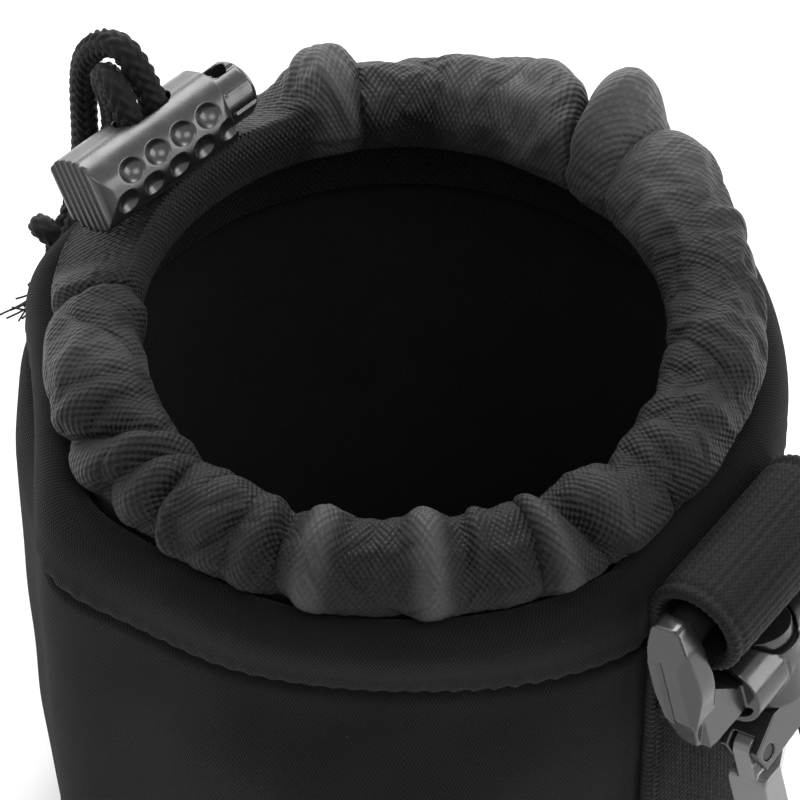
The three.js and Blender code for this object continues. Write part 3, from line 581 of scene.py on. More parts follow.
# The drawcord comes down out of the lock, runs round in the collar's channel and comes up into it again.
DIVE_ANGLE, DIVE_TOP, DIVE_FOOT, DIVE_LEAN = 11, -5.5, -8.14, 1.2
CHANNEL_RADIUS, CHANNEL_HEIGHT = ROLL_RADIUS - 0.2, COLLAR_TOP - 6.65
ring_bearings = np.linspace(LOCK_BEARING + DIVE_ANGLE, LOCK_BEARING + 360 - DIVE_ANGLE, 27)
held_run = [from_lock(STRAND_BACK, 0, z) for z in (CORD_SEAM, 0, DIVE_TOP)]
held_run.append(from_lock(STRAND_BACK - DIVE_LEAN, 0.5, DIVE_FOOT))
held_run += list(turned(CHANNEL_RADIUS, ring_bearings, CHANNEL_HEIGHT))
held_run.append(from_lock(STRAND_FRONT + DIVE_LEAN, 0.9, DIVE_FOOT))
held_run += [from_lock(STRAND_FRONT, 0, z) for z in (DIVE_TOP, 0, CORD_SEAM)]
channel_cord = add_cord("channel_cord", smooth_line(held_run, 0.5), body="pouch", around=24)
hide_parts("drawcord")

# %% [markdown]
# ## The padded wall
#
# The wall is a section turned about the axis. The section has the rolled hem and the groove that the
# stitches pull into it. Each point then moves in or out with its bearing: a slumped corner at the front
# left, a bulge further left, a front that the gathering draws in, a flat behind the strap, soft unevenness,
# and a pucker at every stitch. Sculpting would give the same, but numbers keep it round and repeatable.

# %% Wall, base and hem stitches
POUCH_RADIUS, POUCH_HEIGHT = 45, 92
HEM_START = POUCH_HEIGHT - 12
STRAP_BEARING, STRAP_FLAT, STRAP_SINK = 53.8, 43.3, 0.4
STRAP_REACH, STRAP_HALF_TURN = 60, 17.5
STITCHES, POINTS_PER_STITCH = 112, 6
STITCH_HEIGHT, STITCH_RADIUS = HEM_START, 44.2
PUCKER_DEPTH = 0.15
FOOT_FADE = 9

# Where the wall leaves the round: a bearing, a width in degrees and how far in mm.
CORNER = (-59, 11, 3.2)
BULGE, LOW_BULGE = (-109, 9, 2.4), (-95, 14, 1.9)
HOLLOW = (-84, 14, 2)
FRONT, FRONT_WIDTH = -4, 30
DRAW_START, DRAW_DEPTH, DRAW_GIVEN_BACK = 60, 3.4, 2.6


def front_draw(bearing, height):
    """How far the gathering draws the front of the wall in. It is most where the hem starts."""
    depth = DRAW_DEPTH * smooth(DRAW_START, HEM_START, height)
    depth = depth - DRAW_GIVEN_BACK * smooth(HEM_START, POUCH_HEIGHT, height)
    return swelling(bearing, FRONT, FRONT_WIDTH, depth)


def wall_shift(bearing, height):
    """How far the wall stands out of the round at a bearing and a height."""
    below_hem = 1 - smooth(HEM_START - 4, HEM_START + 2, height)
    bulge = swelling(bearing, *BULGE) + swelling(bearing, *LOW_BULGE) * below_hem
    hollow = swelling(bearing, *HOLLOW) * smooth(HEM_START - 8, HEM_START, height)
    fade = smooth(0, 0.3 * POUCH_HEIGHT, height) * (1 - 0.3 * smooth(HEM_START, POUCH_HEIGHT, height))
    turn = turn_between(STRAP_BEARING, bearing)
    flat = STRAP_FLAT / np.cos(np.radians(np.clip(turn, -STRAP_REACH, STRAP_REACH)))
    flat = np.where(np.abs(turn) < STRAP_REACH, flat - POUCH_RADIUS - STRAP_SINK, 0)
    flat = np.minimum(0, flat) * smooth(0, FOOT_FADE, height)
    return (swelling(bearing, *CORNER) + bulge - hollow) * fade - front_draw(bearing, height) + flat


# The section is given by radius and height: along the foot, up the outside, over the hem, down the inside.
foot_line = smooth_line([(39, 0), (43, 0)], 1, 2)
outer_line = smooth_line(
    [(43.4, 0.1), (43.9, 0.8), (44.05, 4), (44.6, 30), (45, 55), (45, 76), (44.95, 78.2)], 0.5, 2)
hem_line = smooth_line([
    (44.85, 79.1), (43.9, 79.9), (44.8, 80.5), (45.45, 81.8), (45.45, 84.5), (45.4, 87.2),
    (44.9, 89.6), (43.8, 91.3), (42.3, 92.05), (40.7, 91.6), (39.6, 90.3), (39.4, 88)], 0.2, 2)
inner_line = smooth_line([(39.4, 87), (39.4, 80), (40, 78.5), (39.9, 70), (39, 4), (39, 0.2)], 1, 2)
wall_section = evenly(np.vstack([foot_line, outer_line, hem_line, inner_line]), 0.75, 2)

wall_columns = STITCHES * POINTS_PER_STITCH
b, r = np.meshgrid(np.arange(wall_columns) * 360 / wall_columns, wall_section[:, 0])
z = np.repeat(wall_section[:, 1][:, None], wall_columns, axis=1)
turns = np.radians(b)
is_outside = smooth(40.5, 42, r) * smooth(1, 8, z)
uneven = 0.22 * ripple(turns + 0.01 * z, 3, (2, 3, 5, 7)) + 0.10 * ripple(turns - 0.02 * z, 4, (9, 13, 17))
pucker = hump(z - STITCH_HEIGHT - 0.9, 1.6) - 0.8 * hump(z - STITCH_HEIGHT, 0.7)
pucker = PUCKER_DEPTH * pucker * np.cos(turns * STITCHES)
wall_points = turned(r + wall_shift(b, z) + is_outside * (uneven - pucker), b, z)
wall_u = np.arange(wall_columns + 1) * 2 * math.pi * POUCH_RADIUS / wall_columns
wall_v = distances(wall_section)
wall_v = np.append(wall_v, wall_v[-1] + 1)
wall_mesh = grid_mesh("padded_wall", wall_points, wall_u, wall_v, True, True)
wall = add_piece("padded_wall", wall_mesh, "pouch", neoprene)
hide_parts("neoprene_wall")
print("Wall:", len(wall.data.polygons), "faces")

BASE_RADIUS, BASE_THICKNESS, BASE_EDGE = 38.7, 4.5, 0.4
BASE_RINGS, BASE_COLUMNS = 24, 120
under = [(x, 0) for x in np.linspace(2, BASE_RADIUS - 0.5, BASE_RINGS)]
over = [(x, BASE_THICKNESS) for x in np.linspace(37, 2, BASE_RINGS)]
side = [
    (BASE_RADIUS, BASE_EDGE), (BASE_RADIUS, BASE_THICKNESS - BASE_EDGE), (BASE_RADIUS - 0.5, BASE_THICKNESS)]
base_section = np.array([(0, 0), *under, *side, *over, (0, BASE_THICKNESS)])
b, r = np.meshgrid(np.arange(BASE_COLUMNS) * 360 / BASE_COLUMNS, base_section[:, 0])
base_points = turned(r + r / BASE_RADIUS * wall_shift(b, 0), b, base_section[:, 1][:, None])
base_u = np.arange(BASE_COLUMNS + 1) * 2.0
base_mesh = grid_mesh("floor_panel", base_points, base_u, distances(base_section), True)
base = add_piece("floor_panel", base_mesh, "pouch", neoprene)
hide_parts("base_panel")


def stitch_row(name, centres, directions, normals, length, thickness):
    """One mesh of short threads, each a bent capsule that dips into the cloth at both ends."""
    sides, rings = 8, 9
    share = np.linspace(-1, 1, rings)
    swell = np.sqrt(np.clip(1 - share ** 4, 0.02, 1))
    turns = np.linspace(0, 2 * math.pi, sides, endpoint=False)
    quads = [[low + j, low + (j + 1) % sides, low + sides + (j + 1) % sides, low + sides + j]
             for low in range(0, (rings - 1) * sides, sides) for j in range(sides)]
    ends = [list(reversed(range(sides))), list(range((rings - 1) * sides, rings * sides))]
    spots, faces = [], []
    for centre, direction, normal in zip(centres, directions, normals):
        across = np.cross(direction, normal)
        start = len(spots) * rings * sides
        middle = (centre + 0.5 * length * share[:, None] * direction
                  - 0.9 * thickness * (share[:, None] ** 2) * normal)
        ring = middle[:, None] + 0.5 * thickness * swell[:, None, None] * (
            np.cos(turns)[None, :, None] * across + np.sin(turns)[None, :, None] * normal)
        spots.append(ring.reshape(-1, 3))
        faces += [[start + spot for spot in face] for face in quads + ends]
    mesh = bpy.data.meshes.new(name)
    mesh.from_pydata((np.vstack(spots) * MM).tolist(), [], faces)
    return add_piece(name, mesh, "pouch", thread)


stitch_bearings = (np.arange(STITCHES) + 0.5) * 360 / STITCHES
off_strap = np.abs(turn_between(STRAP_BEARING, stitch_bearings)) > STRAP_HALF_TURN
stitch_bearings = stitch_bearings[off_strap]
stitch_out = outwards(stitch_bearings)
stitch_radius = STITCH_RADIUS + wall_shift(stitch_bearings, STITCH_HEIGHT)
stitch_centres = turned(stitch_radius, stitch_bearings, STITCH_HEIGHT)
stitch_along = np.stack([-stitch_out[:, 1], stitch_out[:, 0], 0 * stitch_bearings], axis=1)
stitch_row("hem_stitches", stitch_centres, stitch_along, stitch_out, length=1.7, thickness=0.5)

# %% [markdown]
# ## The gathered collar
#
# The nylon is a flat strip. It is sewn inside the hem, rises, and rolls round the drawcord. Pulling the
# cord gathers it: it stands in soft pillows between sharp creases that run out from the mouth. The strip
# is a grid in which each bearing has its own section; the section swells at a fold and pinches at a
# crease. That sets the large folds where they are wanted. A short cloth simulation then lets the strip
# grow a little between its held edges, which buckles it into the small wrinkles of real gathering. It runs
# at ten times the size, where the solver is steady, and no point may move further than a limit.

# %% Collar
BAND_RADIUS, BAND_HEIGHT = 36.5, 95.52
CLOTH_STEP, BEARING_STEP, CLOTH_THICKNESS = 0.55, 0.6, 0.4
SHARPEST = 3
CRUMPLES = 120
TUCK_WIDTH = 38

# The lock presses the cloth down to a sloping plane, fully up to one angle and not at all from another.
PRESS_BEARING, PRESS_FULL, PRESS_END = LOCK_BEARING - 3.5, 23.5, 37
PRESS_DROP, PRESS_SLOPE = 1.9, math.tan(math.radians(30))
BUTTONHOLE_LOW, BUTTONHOLE_HIGH = np.array([-2.4, -1.4, -6.2]), np.array([5.6, 1.8, 0])

# Each fold: its bearing at the hem and at the mouth, its width in degrees and its height. A crease goes in,
# so its height is below 0.
folds = [
    (-172, -171, 3, -2), (-166, -166, 7, 2.8), (-112, -112, 4, -0.8), (-101, -105, 6, 1.2),
    (-91, -97, 3, -2.4), (-79, -76, 9, 1.2), (-70, -54, 3, -2.6), (-64, -51, 4, 1.2), (-57, -48, 3, -2),
    (-49, -47, 3, 1.2), (-42, -46, 3, -2.2), (-34, -36, 6, 0.8), (-30, -30, 3, -0.9), (-25, -26, 3, 0.8),
    (-21, -22, 3, -2), (-16, -15, 3.5, 2), (-6, -6, 5, -0.3), (5, 4, 3.5, 1.9), (12, 12, 4, -0.8),
    (18, 18, 4, 0.4), (22, 23, 3, -1.2), (27, 25, 3.5, 1.7), (36, 28, 3, -2), (40, 38, 5, 0.9),
    (48, 48, 5, -1), (58, 61, 7, 0.6), (67, 58, 4, -0.9), (74, 67, 4, -0.7), (84, 79, 6, 0.5),
    (92, 97, 4, -0.7), (105, 101, 7, 0.5), (113, 119, 5, -0.7), (123, 121, 9, 1.6), (134, 128, 3, -1.6),
    (143, 137, 6, 4.2), (136, 134, 20, 2.6), (152, 140, 3, -4.4), (159, 150, 6, 2.2), (168, 168, 9, 1.2),
    (178, 177, 6, -0.8)]


def folds_at(bearing, mouth):
    """How far the cloth stands out. A ridge is a round hump; a narrow crease is a sharp valley."""
    total = 0
    for at_hem, at_mouth, width, height in folds:
        away = turn_between(at_hem + (at_mouth - at_hem) * mouth, bearing)
        if height < 0 and width <= SHARPEST:
            total = total + 1.2 * height * np.exp(-np.abs(away) / (0.7 * width))
        else:
            total = total + height * hump(away, width)
    return total


# The strip's section, from the hem up and over the cord: radius, height, how far it follows the wall, how far
# it follows the folds, its way to the mouth, and how far it is tucked behind the hem at the front.
collar_stations = np.array([
    (38.4, 79.0, 1, 0, 0, 0), (38.4, 86.0, 1, 0, 0, 0), (38.4, 91.5, 1, 0, 0, -0.5),
    (40.5, 93.2, 0.7, 0.2, 0.1, -0.7), (41.8, 95.6, 0.4, 0.5, 0.25, 0.3), (40.7, 98.6, 0.2, 0.8, 0.45, 0.5),
    (37.4, 100.8, 0, 1, 0.65, 0.2), (34.0, 100.8, 0, 0.9, 0.85, 0), (31.9, 99.0, 0, 0.5, 1, 0),
    (31.2, 96.0, 0, 0.25, 1, 0), (31.9, 93.0, 0, 0.1, 1, 0), (34.4, 90.6, 0, 0, 1, 0),
    (36.6, 90.2, 1, 0, 1, 0)])
collar_section = smooth_line(collar_stations, CLOTH_STEP, 2)
collar_share = np.linspace(0, 1, len(collar_section))
collar_bearings = np.arange(round(360 / BEARING_STEP)) * BEARING_STEP - 180
b, row = np.meshgrid(collar_bearings, np.arange(len(collar_section)))
r, z, skirt, puff, mouth, tuck = (collar_section[row, i] for i in range(collar_section.shape[1]))
share = collar_share[row]
press = 1 - smooth(PRESS_FULL, PRESS_END, np.abs(turn_between(PRESS_BEARING, b)))

small = 0.35 * ripple(np.radians(b) + 0.25 * share, 21, (13, 19, 27, 35)) * smooth(0.3, 0.5, share)
small = small + 0.2 * ripple(np.radians(b) - 0.2 * share, 22, (41, 53, 67, 79)) * smooth(0.45, 0.65, share)
crumple = 0
for i in range(CRUMPLES):
    where, how_far, lean = random.uniform(-180, 180), random.uniform(0.34, 0.74), random.uniform(-70, 70)
    width, reach, height = random.uniform(1.6, 4.2), random.uniform(0.05, 0.13), random.normal(0, 0.55)
    away = turn_between(where + lean * (share - how_far), b)
    shape = hump(away, width) if height > 0 else np.exp(-np.abs(away) / width)
    crumple = crumple + height * shape * hump(share - how_far, reach)

swell = (puff * (folds_at(b, mouth) + small) + crumple) * (1 - press)
across, up = r - BAND_RADIUS, z - BAND_HEIGHT
reach = np.hypot(across, up)
above = np.maximum(0, z - (COLLAR_TOP - PRESS_DROP + (ROLL_RADIUS - r) * PRESS_SLOPE))
tucked = tuck * hump(turn_between(FRONT, b), TUCK_WIDTH)
new_r = r + swell * across / reach + skirt * wall_shift(b, z) - tucked
collar_points = turned(new_r, b, z + swell * up / reach - press * above)

face_middles = (collar_points[:-1] + np.roll(collar_points, -1, axis=1)[1:]) / 2
in_lock = (face_middles - LOCK_PLACE) @ LOCK_AXES.T
buttonhole = np.all((in_lock > BUTTONHOLE_LOW) & (in_lock < BUTTONHOLE_HIGH), axis=-1)
collar_u = np.arange(len(collar_bearings) + 1) * 2 * math.pi * ROLL_RADIUS / len(collar_bearings)
collar_v = np.arange(len(collar_section)) * CLOTH_STEP
collar_mesh = grid_mesh("gathered_collar", collar_points, collar_u, collar_v, True, False, ~buttonhole)
# Where the painted highlight goes: the ridges of the folds, away from the lock, are made lighter in the
# colour.
ridge_highlight = smooth(0.3, 2.0, folds_at(b, mouth)) * smooth(0.3, 0.45, share) * (1 - press)
# The seam, the inner edge and the cloth under the lock are held; the rest is held only a little.
held = np.maximum.reduce([
    1 - smooth(0.30, 0.40, share), smooth(0.80, 0.88, share), 0.9 * press, np.full(share.shape, 0.12)])


def settled(mesh, hold, growth, frames, limit, enlarged=10):
    """Lets a cloth grow and buckle for some frames. hold is how firmly each point keeps its place."""
    rest = np.array([vertex.co for vertex in mesh.vertices])
    mesh.transform(Matrix.Scale(enlarged, 4))
    piece = new_object("settling", mesh)
    group = piece.vertex_groups.new(name="held")
    for level in np.unique(np.round(hold, 2)):
        group.add(np.flatnonzero(np.round(hold, 2) == level).tolist(), float(level), "REPLACE")
    cloth = piece.modifiers.new("cloth", "CLOTH")
    cloth.settings.quality = 6
    cloth.settings.mass = 0.15
    cloth.settings.tension_stiffness = cloth.settings.compression_stiffness = 25
    cloth.settings.shear_stiffness = 10
    cloth.settings.bending_stiffness = 0.15
    cloth.settings.shrink_min = cloth.settings.shrink_max = -growth
    cloth.settings.vertex_group_mass = "held"
    cloth.settings.effector_weights.gravity = 0
    cloth.collision_settings.use_collision = False
    cloth.point_cache.frame_start, cloth.point_cache.frame_end = 1, frames
    for number in range(1, frames + 1):
        bpy.context.scene.frame_set(number)
    mesh = baked(piece)
    bpy.data.objects.remove(piece)
    bpy.context.scene.frame_set(1)
    moved = np.array([vertex.co for vertex in mesh.vertices]) / enlarged - rest
    far = np.maximum(np.linalg.norm(moved, axis=1), 1e-9)
    moved *= (limit * MM * np.tanh(far / (limit * MM)) / far)[:, None]
    mesh.vertices.foreach_set("co", (rest + moved).astype(np.float32).ravel())
    print("Cloth moved", round(float(far.mean()) / MM, 2), "mm on average")
    return mesh


collar_mesh = settled(collar_mesh, held.ravel(), growth=0.07, frames=24, limit=1.2)
collar_mesh.attributes.new("ridge_highlight", "FLOAT", "POINT").data.foreach_set(
    "value", ridge_highlight.astype(np.float32).ravel())
collar = add_piece("gathered_collar", collar_mesh, "pouch", nylon)
refine = collar.modifiers.new("smooth cloth", "SUBSURF")
refine.levels = refine.render_levels = 1
solidify = collar.modifiers.new("cloth thickness", "SOLIDIFY")
solidify.thickness = CLOTH_THICKNESS * MM
solidify.offset = 0
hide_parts("nylon_collar")

# %% [markdown]
# ## The strap
#
# The webbing is sewn up the wall, goes over the hook's bar and laps down on itself. Its middle line is
# drawn in the plane of the fold and both faces are offset from it, so it keeps one thickness. Thick weft
# ribs cross it, and its edges are rolled.

# %% Webbing and its stitches
STRAP_OUT = outwards(STRAP_BEARING)
STRAP_ALONG = np.array([-STRAP_OUT[1], STRAP_OUT[0], 0])
STRAP_WIDTH, STRAP_THICKNESS, STRAP_STEP = 25, 1.5, 0.22
WALL_SIDE, LAP_SIDE = 44.35, 46.15
FOOT_HEIGHT, FOLD_START, LAP_END = 14, 87, 70
LOOP_OUT, LOOP_HEIGHT, BEND, BEND_END = 49.6, 89, 5.25, math.radians(-53.8)
RIB_PITCH, RIB_DEPTH = 0.95, 0.12
COLUMN_PITCH, COLUMN_DEPTH = 1.6, 0.02
GROOVES, GROOVE_WIDTH, GROOVE_DEPTH = (86.7, 88.0), 0.28, 0.22
ACROSS_POINTS = 64

arc = np.linspace(math.pi, BEND_END, 60)
fold = np.stack([LOOP_OUT + BEND * np.cos(arc), LOOP_HEIGHT + BEND * np.sin(arc)], axis=1)
lap = smooth_line([(46.8, 80.9), (46.4, 80), (LAP_SIDE, 78.5), (LAP_SIDE, LAP_END)], 0.5, 2)
sewn = [(WALL_SIDE, FOOT_HEIGHT), (WALL_SIDE, FOLD_START)]
strap_line = evenly(np.vstack([sewn, fold, lap]), STRAP_STEP, 2)
strap_runs = np.arange(len(strap_line)) * STRAP_STEP
tangent = np.gradient(strap_line, axis=0)
tangent /= np.linalg.norm(tangent, axis=1)[:, None]
normal = np.stack([tangent[:, 1], -tangent[:, 0]], axis=1)
a, run = np.meshgrid(np.linspace(-STRAP_WIDTH / 2, STRAP_WIDTH / 2, ACROSS_POINTS), strap_runs)
edge = np.abs(a) / (STRAP_WIDTH / 2)
rib = np.cos(2 * math.pi * (run / RIB_PITCH + 0.05 * np.sin(3 * a)))
column = np.cos(2 * math.pi * a / COLUMN_PITCH)
groove = sum(hump(run - place, GROOVE_WIDTH) for place in GROOVES)
thick = STRAP_THICKNESS / 2 + RIB_DEPTH * rib + COLUMN_DEPTH * column
thick = thick - GROOVE_DEPTH * groove * (1 - smooth(0.90, 0.96, edge))
thick = thick - 0.30 * hump(edge - 0.87, 0.022) - 0.45 * smooth(0.96, 1, edge) ** 2


def strap_side(side):
    """The points of one face of the webbing."""
    spots = strap_line[:, None] + side * thick[..., None] * normal[:, None]
    flat = spots[..., 0][..., None] * STRAP_OUT + a[..., None] * STRAP_ALONG
    flat[..., 2] = spots[..., 1]
    return flat


strap_points = closed_ends(np.concatenate([strap_side(1), strap_side(-1)[:, ::-1]], axis=1))
strap_u = np.arange(2 * ACROSS_POINTS + 1) * STRAP_WIDTH / (ACROSS_POINTS - 1)
strap_v = np.concatenate([[0], strap_runs, strap_runs[-1:]])
strap_mesh = grid_mesh("webbing_strap", strap_points, strap_u, strap_v, True)
strap = add_piece("webbing_strap", strap_mesh, "pouch", webbing_cloth)
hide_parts("belt_webbing")
print("Strap is", round(strap_runs[-1], 1), "mm long")


def strap_stitches(name, spots, out, direction, length):
    """Stitches at places across and up the strap, lying at a distance from the pouch's axis."""
    places = [out * STRAP_OUT + across * STRAP_ALONG + np.array([0, 0, height]) for across, height in spots]
    stitch_row(name, places, [direction] * len(places), [STRAP_OUT] * len(places), length, thickness=0.4)


STITCH_OUT = 0.85
TACK_ROWS, TACK_RISE, FOOT_ROWS = (76, 72.4), 0.6, (17, 30)
tacks = [(across, height + TACK_RISE * (i % 2))
         for height in TACK_ROWS for i, across in enumerate(np.arange(-10.5, 10.6, 1.05))]
strap_stitches("strap_tacks", tacks, LAP_SIDE + STITCH_OUT, unit(STRAP_ALONG + [0, 0, 0.9]), length=1.5)
foot_stitches = [(across, height) for height in FOOT_ROWS for across in np.arange(-9.6, 9.7, 2.4)]
strap_stitches("strap_foot_stitches", foot_stitches, WALL_SIDE + STITCH_OUT, STRAP_ALONG, length=2.0)

# %% [markdown]
# ## Moulded plastic
#
# The lock and the hook are solids joined and cut like the frame's, but from finer outlines. A fine
# remesh then gives even faces, and a few rounds of smoothing soften every edge as a mould does.

# %% Tools for moulded pieces
X, Y, Z = 0, 1, 2


def prism(outline, low, high, axis):
    """A closed outline of two axes, drawn out along the third."""
    outline = [tuple(p) for p in outline]
    area = sum(p[0] * q[1] - q[0] * p[1] for p, q in zip(outline, outline[1:] + outline[:1]))
    if (area < 0) != (axis == Y):
        outline = outline[::-1]
    points = [np.insert(np.array(p, float), axis, level).tolist() for level in (low, high) for p in outline]
    count = len(outline)
    faces = [tuple(reversed(range(count))), tuple(range(count, 2 * count))]
    faces += [(i, (i + 1) % count, count + (i + 1) % count, count + i) for i in range(count)]
    mesh = bpy.data.meshes.new("tool")
    mesh.from_pydata(points, [], faces)
    return new_object("tool", mesh)


def circle(x, y, radius, count=64):
    """The outline of a disc."""
    turns = np.linspace(0, 2 * math.pi, count, endpoint=False)
    return np.stack([x + radius * np.cos(turns), y + radius * np.sin(turns)], axis=1)


def rounded(left, low, right, high, corner, count=8):
    """The outline of a box with round corners."""
    spots = []
    for x, y, start in ((right - corner, low + corner, -90), (right - corner, high - corner, 0),
                        (left + corner, high - corner, 90), (left + corner, low + corner, 180)):
        turns = np.radians(start + np.linspace(0, 90, count))
        spots.append(np.stack([x + corner * np.cos(turns), y + corner * np.sin(turns)], axis=1))
    return np.vstack(spots)


def ball(x, y, z, radius):
    bpy.ops.mesh.primitive_uv_sphere_add(segments=32, ring_count=20, radius=radius, location=(x, y, z))
    tool = bpy.context.object
    tool.data.transform(Matrix.Translation(tool.location))
    tool.location = (0, 0, 0)
    return tool


def shared(first, second):
    """The part that two solids have in common."""
    overlap = first.modifiers.new("shared", "BOOLEAN")
    overlap.operation = "INTERSECT"
    overlap.object = second
    baked(first)
    bpy.data.objects.remove(second)
    return first


def moulded(name, adds, cuts, axes, place, body, material, grain, softening):
    """Joins the first solids, cuts the others out, evens the mesh to a grain in mm and softens its edges."""
    first = adds[0]
    for operation, tools in (("UNION", adds[1:]), ("DIFFERENCE", cuts)):
        for tool in tools:
            modifier = first.modifiers.new(operation, "BOOLEAN")
            modifier.operation = operation
            modifier.object = tool
            modifier.solver = "EXACT"
    remesh = first.modifiers.new("even", "REMESH")
    remesh.mode = "VOXEL"
    remesh.voxel_size = grain
    soften = first.modifiers.new("soften", "SMOOTH")
    soften.factor = 0.5
    soften.iterations = softening
    mesh = baked(first)
    for tool in adds + cuts:
        bpy.data.objects.remove(tool)
    turn = Matrix(axes.T.tolist()).to_4x4()
    turn.translation = Vector(place)
    mesh.transform(Matrix.Scale(MM, 4) @ turn)
    mesh.name = name
    piece = add_piece(name, mesh, body, material)
    print(name, "has", len(mesh.polygons), "faces")
    return piece


# %% [markdown]
# ## The cord lock
#
# The barrel is a block with a bore from its open end, a slot for both cords through it, dimples for the
# thumb on its long sides and flutes across its closed end. The plunger's window meets the slot when it
# is pressed.

# %% Cord lock
BORE, END_WALL = 3.9, 1.6
SLOT_WIDTH, SLOT_BACK, SLOT_FRONT, WINDOW_FRONT = 4.3, -2.3, 5.9, 8.3
END_CORNER, LONG_CORNER = 1.6, 4.4
DIMPLE, DIMPLE_PITCH, DIMPLE_OUT, DIMPLE_SHIFT = 2.1, 4.1, 1.05, 0.8
FLUTES, FLUTE, FLUTE_PITCH, FLUTE_OUT = 6, 0.55, 1.25, 0.1
THROUGH = 9
half_x, half_y, half_z = BARREL_LENGTH / 2, BARREL_WIDTH / 2, BARREL_DEPTH / 2


def cord_slot(front):
    half = SLOT_WIDTH / 2
    return prism(rounded(SLOT_BACK, -half, front, half, half - 0.1), -THROUGH, THROUGH, Z)


barrel_block = shared(
    prism(rounded(-half_x, -half_y, half_x, half_y, END_CORNER), -half_z, half_z, Z),
    prism(rounded(-half_y, -half_z, half_y, half_z, LONG_CORNER, 24), -half_x - 1, half_x + 1, X))
barrel_cuts = [prism(circle(0, 0, BORE), -half_x + END_WALL, half_x + 1, X), cord_slot(SLOT_FRONT)]
for face in (-1, 1):
    for count, height in ((4, 1.7), (5, -2.2)):
        for i in range(count):
            along = (i - (count - 1) / 2) * DIMPLE_PITCH + DIMPLE_SHIFT
            barrel_cuts.append(ball(along, face * (half_y + DIMPLE_OUT), height, DIMPLE))
for i in range(FLUTES):
    across = (i - (FLUTES - 1) / 2) * FLUTE_PITCH
    barrel_cuts.append(prism(circle(-half_x - FLUTE_OUT, across, FLUTE, 24), -THROUGH, THROUGH, Z))
barrel = moulded("lock_housing", [barrel_block], barrel_cuts, LOCK_AXES, LOCK_PLACE,
                 "cord_lock", lock_plastic, grain=0.13, softening=3)
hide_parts("lock_barrel")

PLUNGER, PLUNGER_BACK, PLUNGER_FRONT = 3.6, -3.8, 16
HEAD_START, HEAD_RADIUS, HEAD_DOME, DOME_PLACE = 11.2, 3.75, 5.0, 11.5
LANYARD_HOLE, LANYARD_PLACE = 1.4, 12.975
NOTCH, NOTCH_OUT, NOTCH_START = 0.45, 3.7, 11.6
plunger_cuts = [
    cord_slot(WINDOW_FRONT), prism(circle(LANYARD_PLACE, 0, LANYARD_HOLE, 32), -THROUGH, THROUGH, Z)]
facet_turns = np.radians(22.5 + 45 * np.arange(8))
facets = [(HEAD_RADIUS * math.cos(turn), HEAD_RADIUS * math.sin(turn)) for turn in facet_turns]
for turn in facet_turns[::2]:
    notch = circle(NOTCH_OUT * math.cos(turn), NOTCH_OUT * math.sin(turn), NOTCH, 20)
    plunger_cuts.append(prism(notch, NOTCH_START, PLUNGER_FRONT + 1, X))
plunger_adds = [prism(circle(0, 0, PLUNGER), PLUNGER_BACK, PLUNGER_FRONT - 1.2, X),
                shared(prism(facets, HEAD_START, PLUNGER_FRONT, X), ball(DOME_PLACE, 0, 0, HEAD_DOME))]
button = moulded("lock_button", plunger_adds, plunger_cuts, LOCK_AXES, LOCK_PLACE,
                 "lock_button", lock_plastic, grain=0.12, softening=4)
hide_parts("lock_plunger")

# %% [markdown]
# ## The swivel hook
#
# The eye is a ring round the folded webbing with a lying hub in its lower bar. The hook hangs from the hub on
# a headed post, and its gate swings in on a pin. Outlines are in the hook's own frame: X along the bar,
# Y out of the strap, Z down the hook.

# %% Hook
HOOK_LEAN = math.radians(15)
HOOK_OUT, HOOK_HEIGHT = 48.5, 88.5
UP = np.array([0, 0, 1])
HOOK_AXES = np.stack([
    STRAP_ALONG,
    math.cos(HOOK_LEAN) * STRAP_OUT + math.sin(HOOK_LEAN) * UP,
    math.sin(HOOK_LEAN) * STRAP_OUT - math.cos(HOOK_LEAN) * UP])
HOOK_PLACE = turned(HOOK_OUT, STRAP_BEARING, HOOK_HEIGHT)
ARM_INNER, ARM_OUTER = 13.2, 16.9
BAR_RADIUS, BAR_HALF = 2.4, 15.4
HUB_RADIUS, HUB_GROOVE, HUB_DEPTH = 4.4, 4.1, 14.4
HUB_TOP, HUB_FOOT = 12, 20
POST, POST_HEAD, POST_HOLE, POST_POCKET = 2.5, 3.7, 2.85, 4.1
RECESS, RECESS_START, RECESS_END = 3.5, 6.2, 9


def bent(points, bends, count=10):
    """An outline in which each entry of bends rounds that corner by its radius."""
    points = [np.asarray(p, float) for p in points]
    line = []
    for i, corner in enumerate(points):
        radius = bends.get(i, 0)
        if not radius:
            line.append(corner)
            continue
        before, after = unit(points[i - 1] - corner), unit(points[(i + 1) % len(points)] - corner)
        for t in np.linspace(0, 1, count):
            line.append((1 - t) ** 2 * (corner + radius * before) + 2 * t * (1 - t) * corner
                        + t ** 2 * (corner + radius * after))
    return line


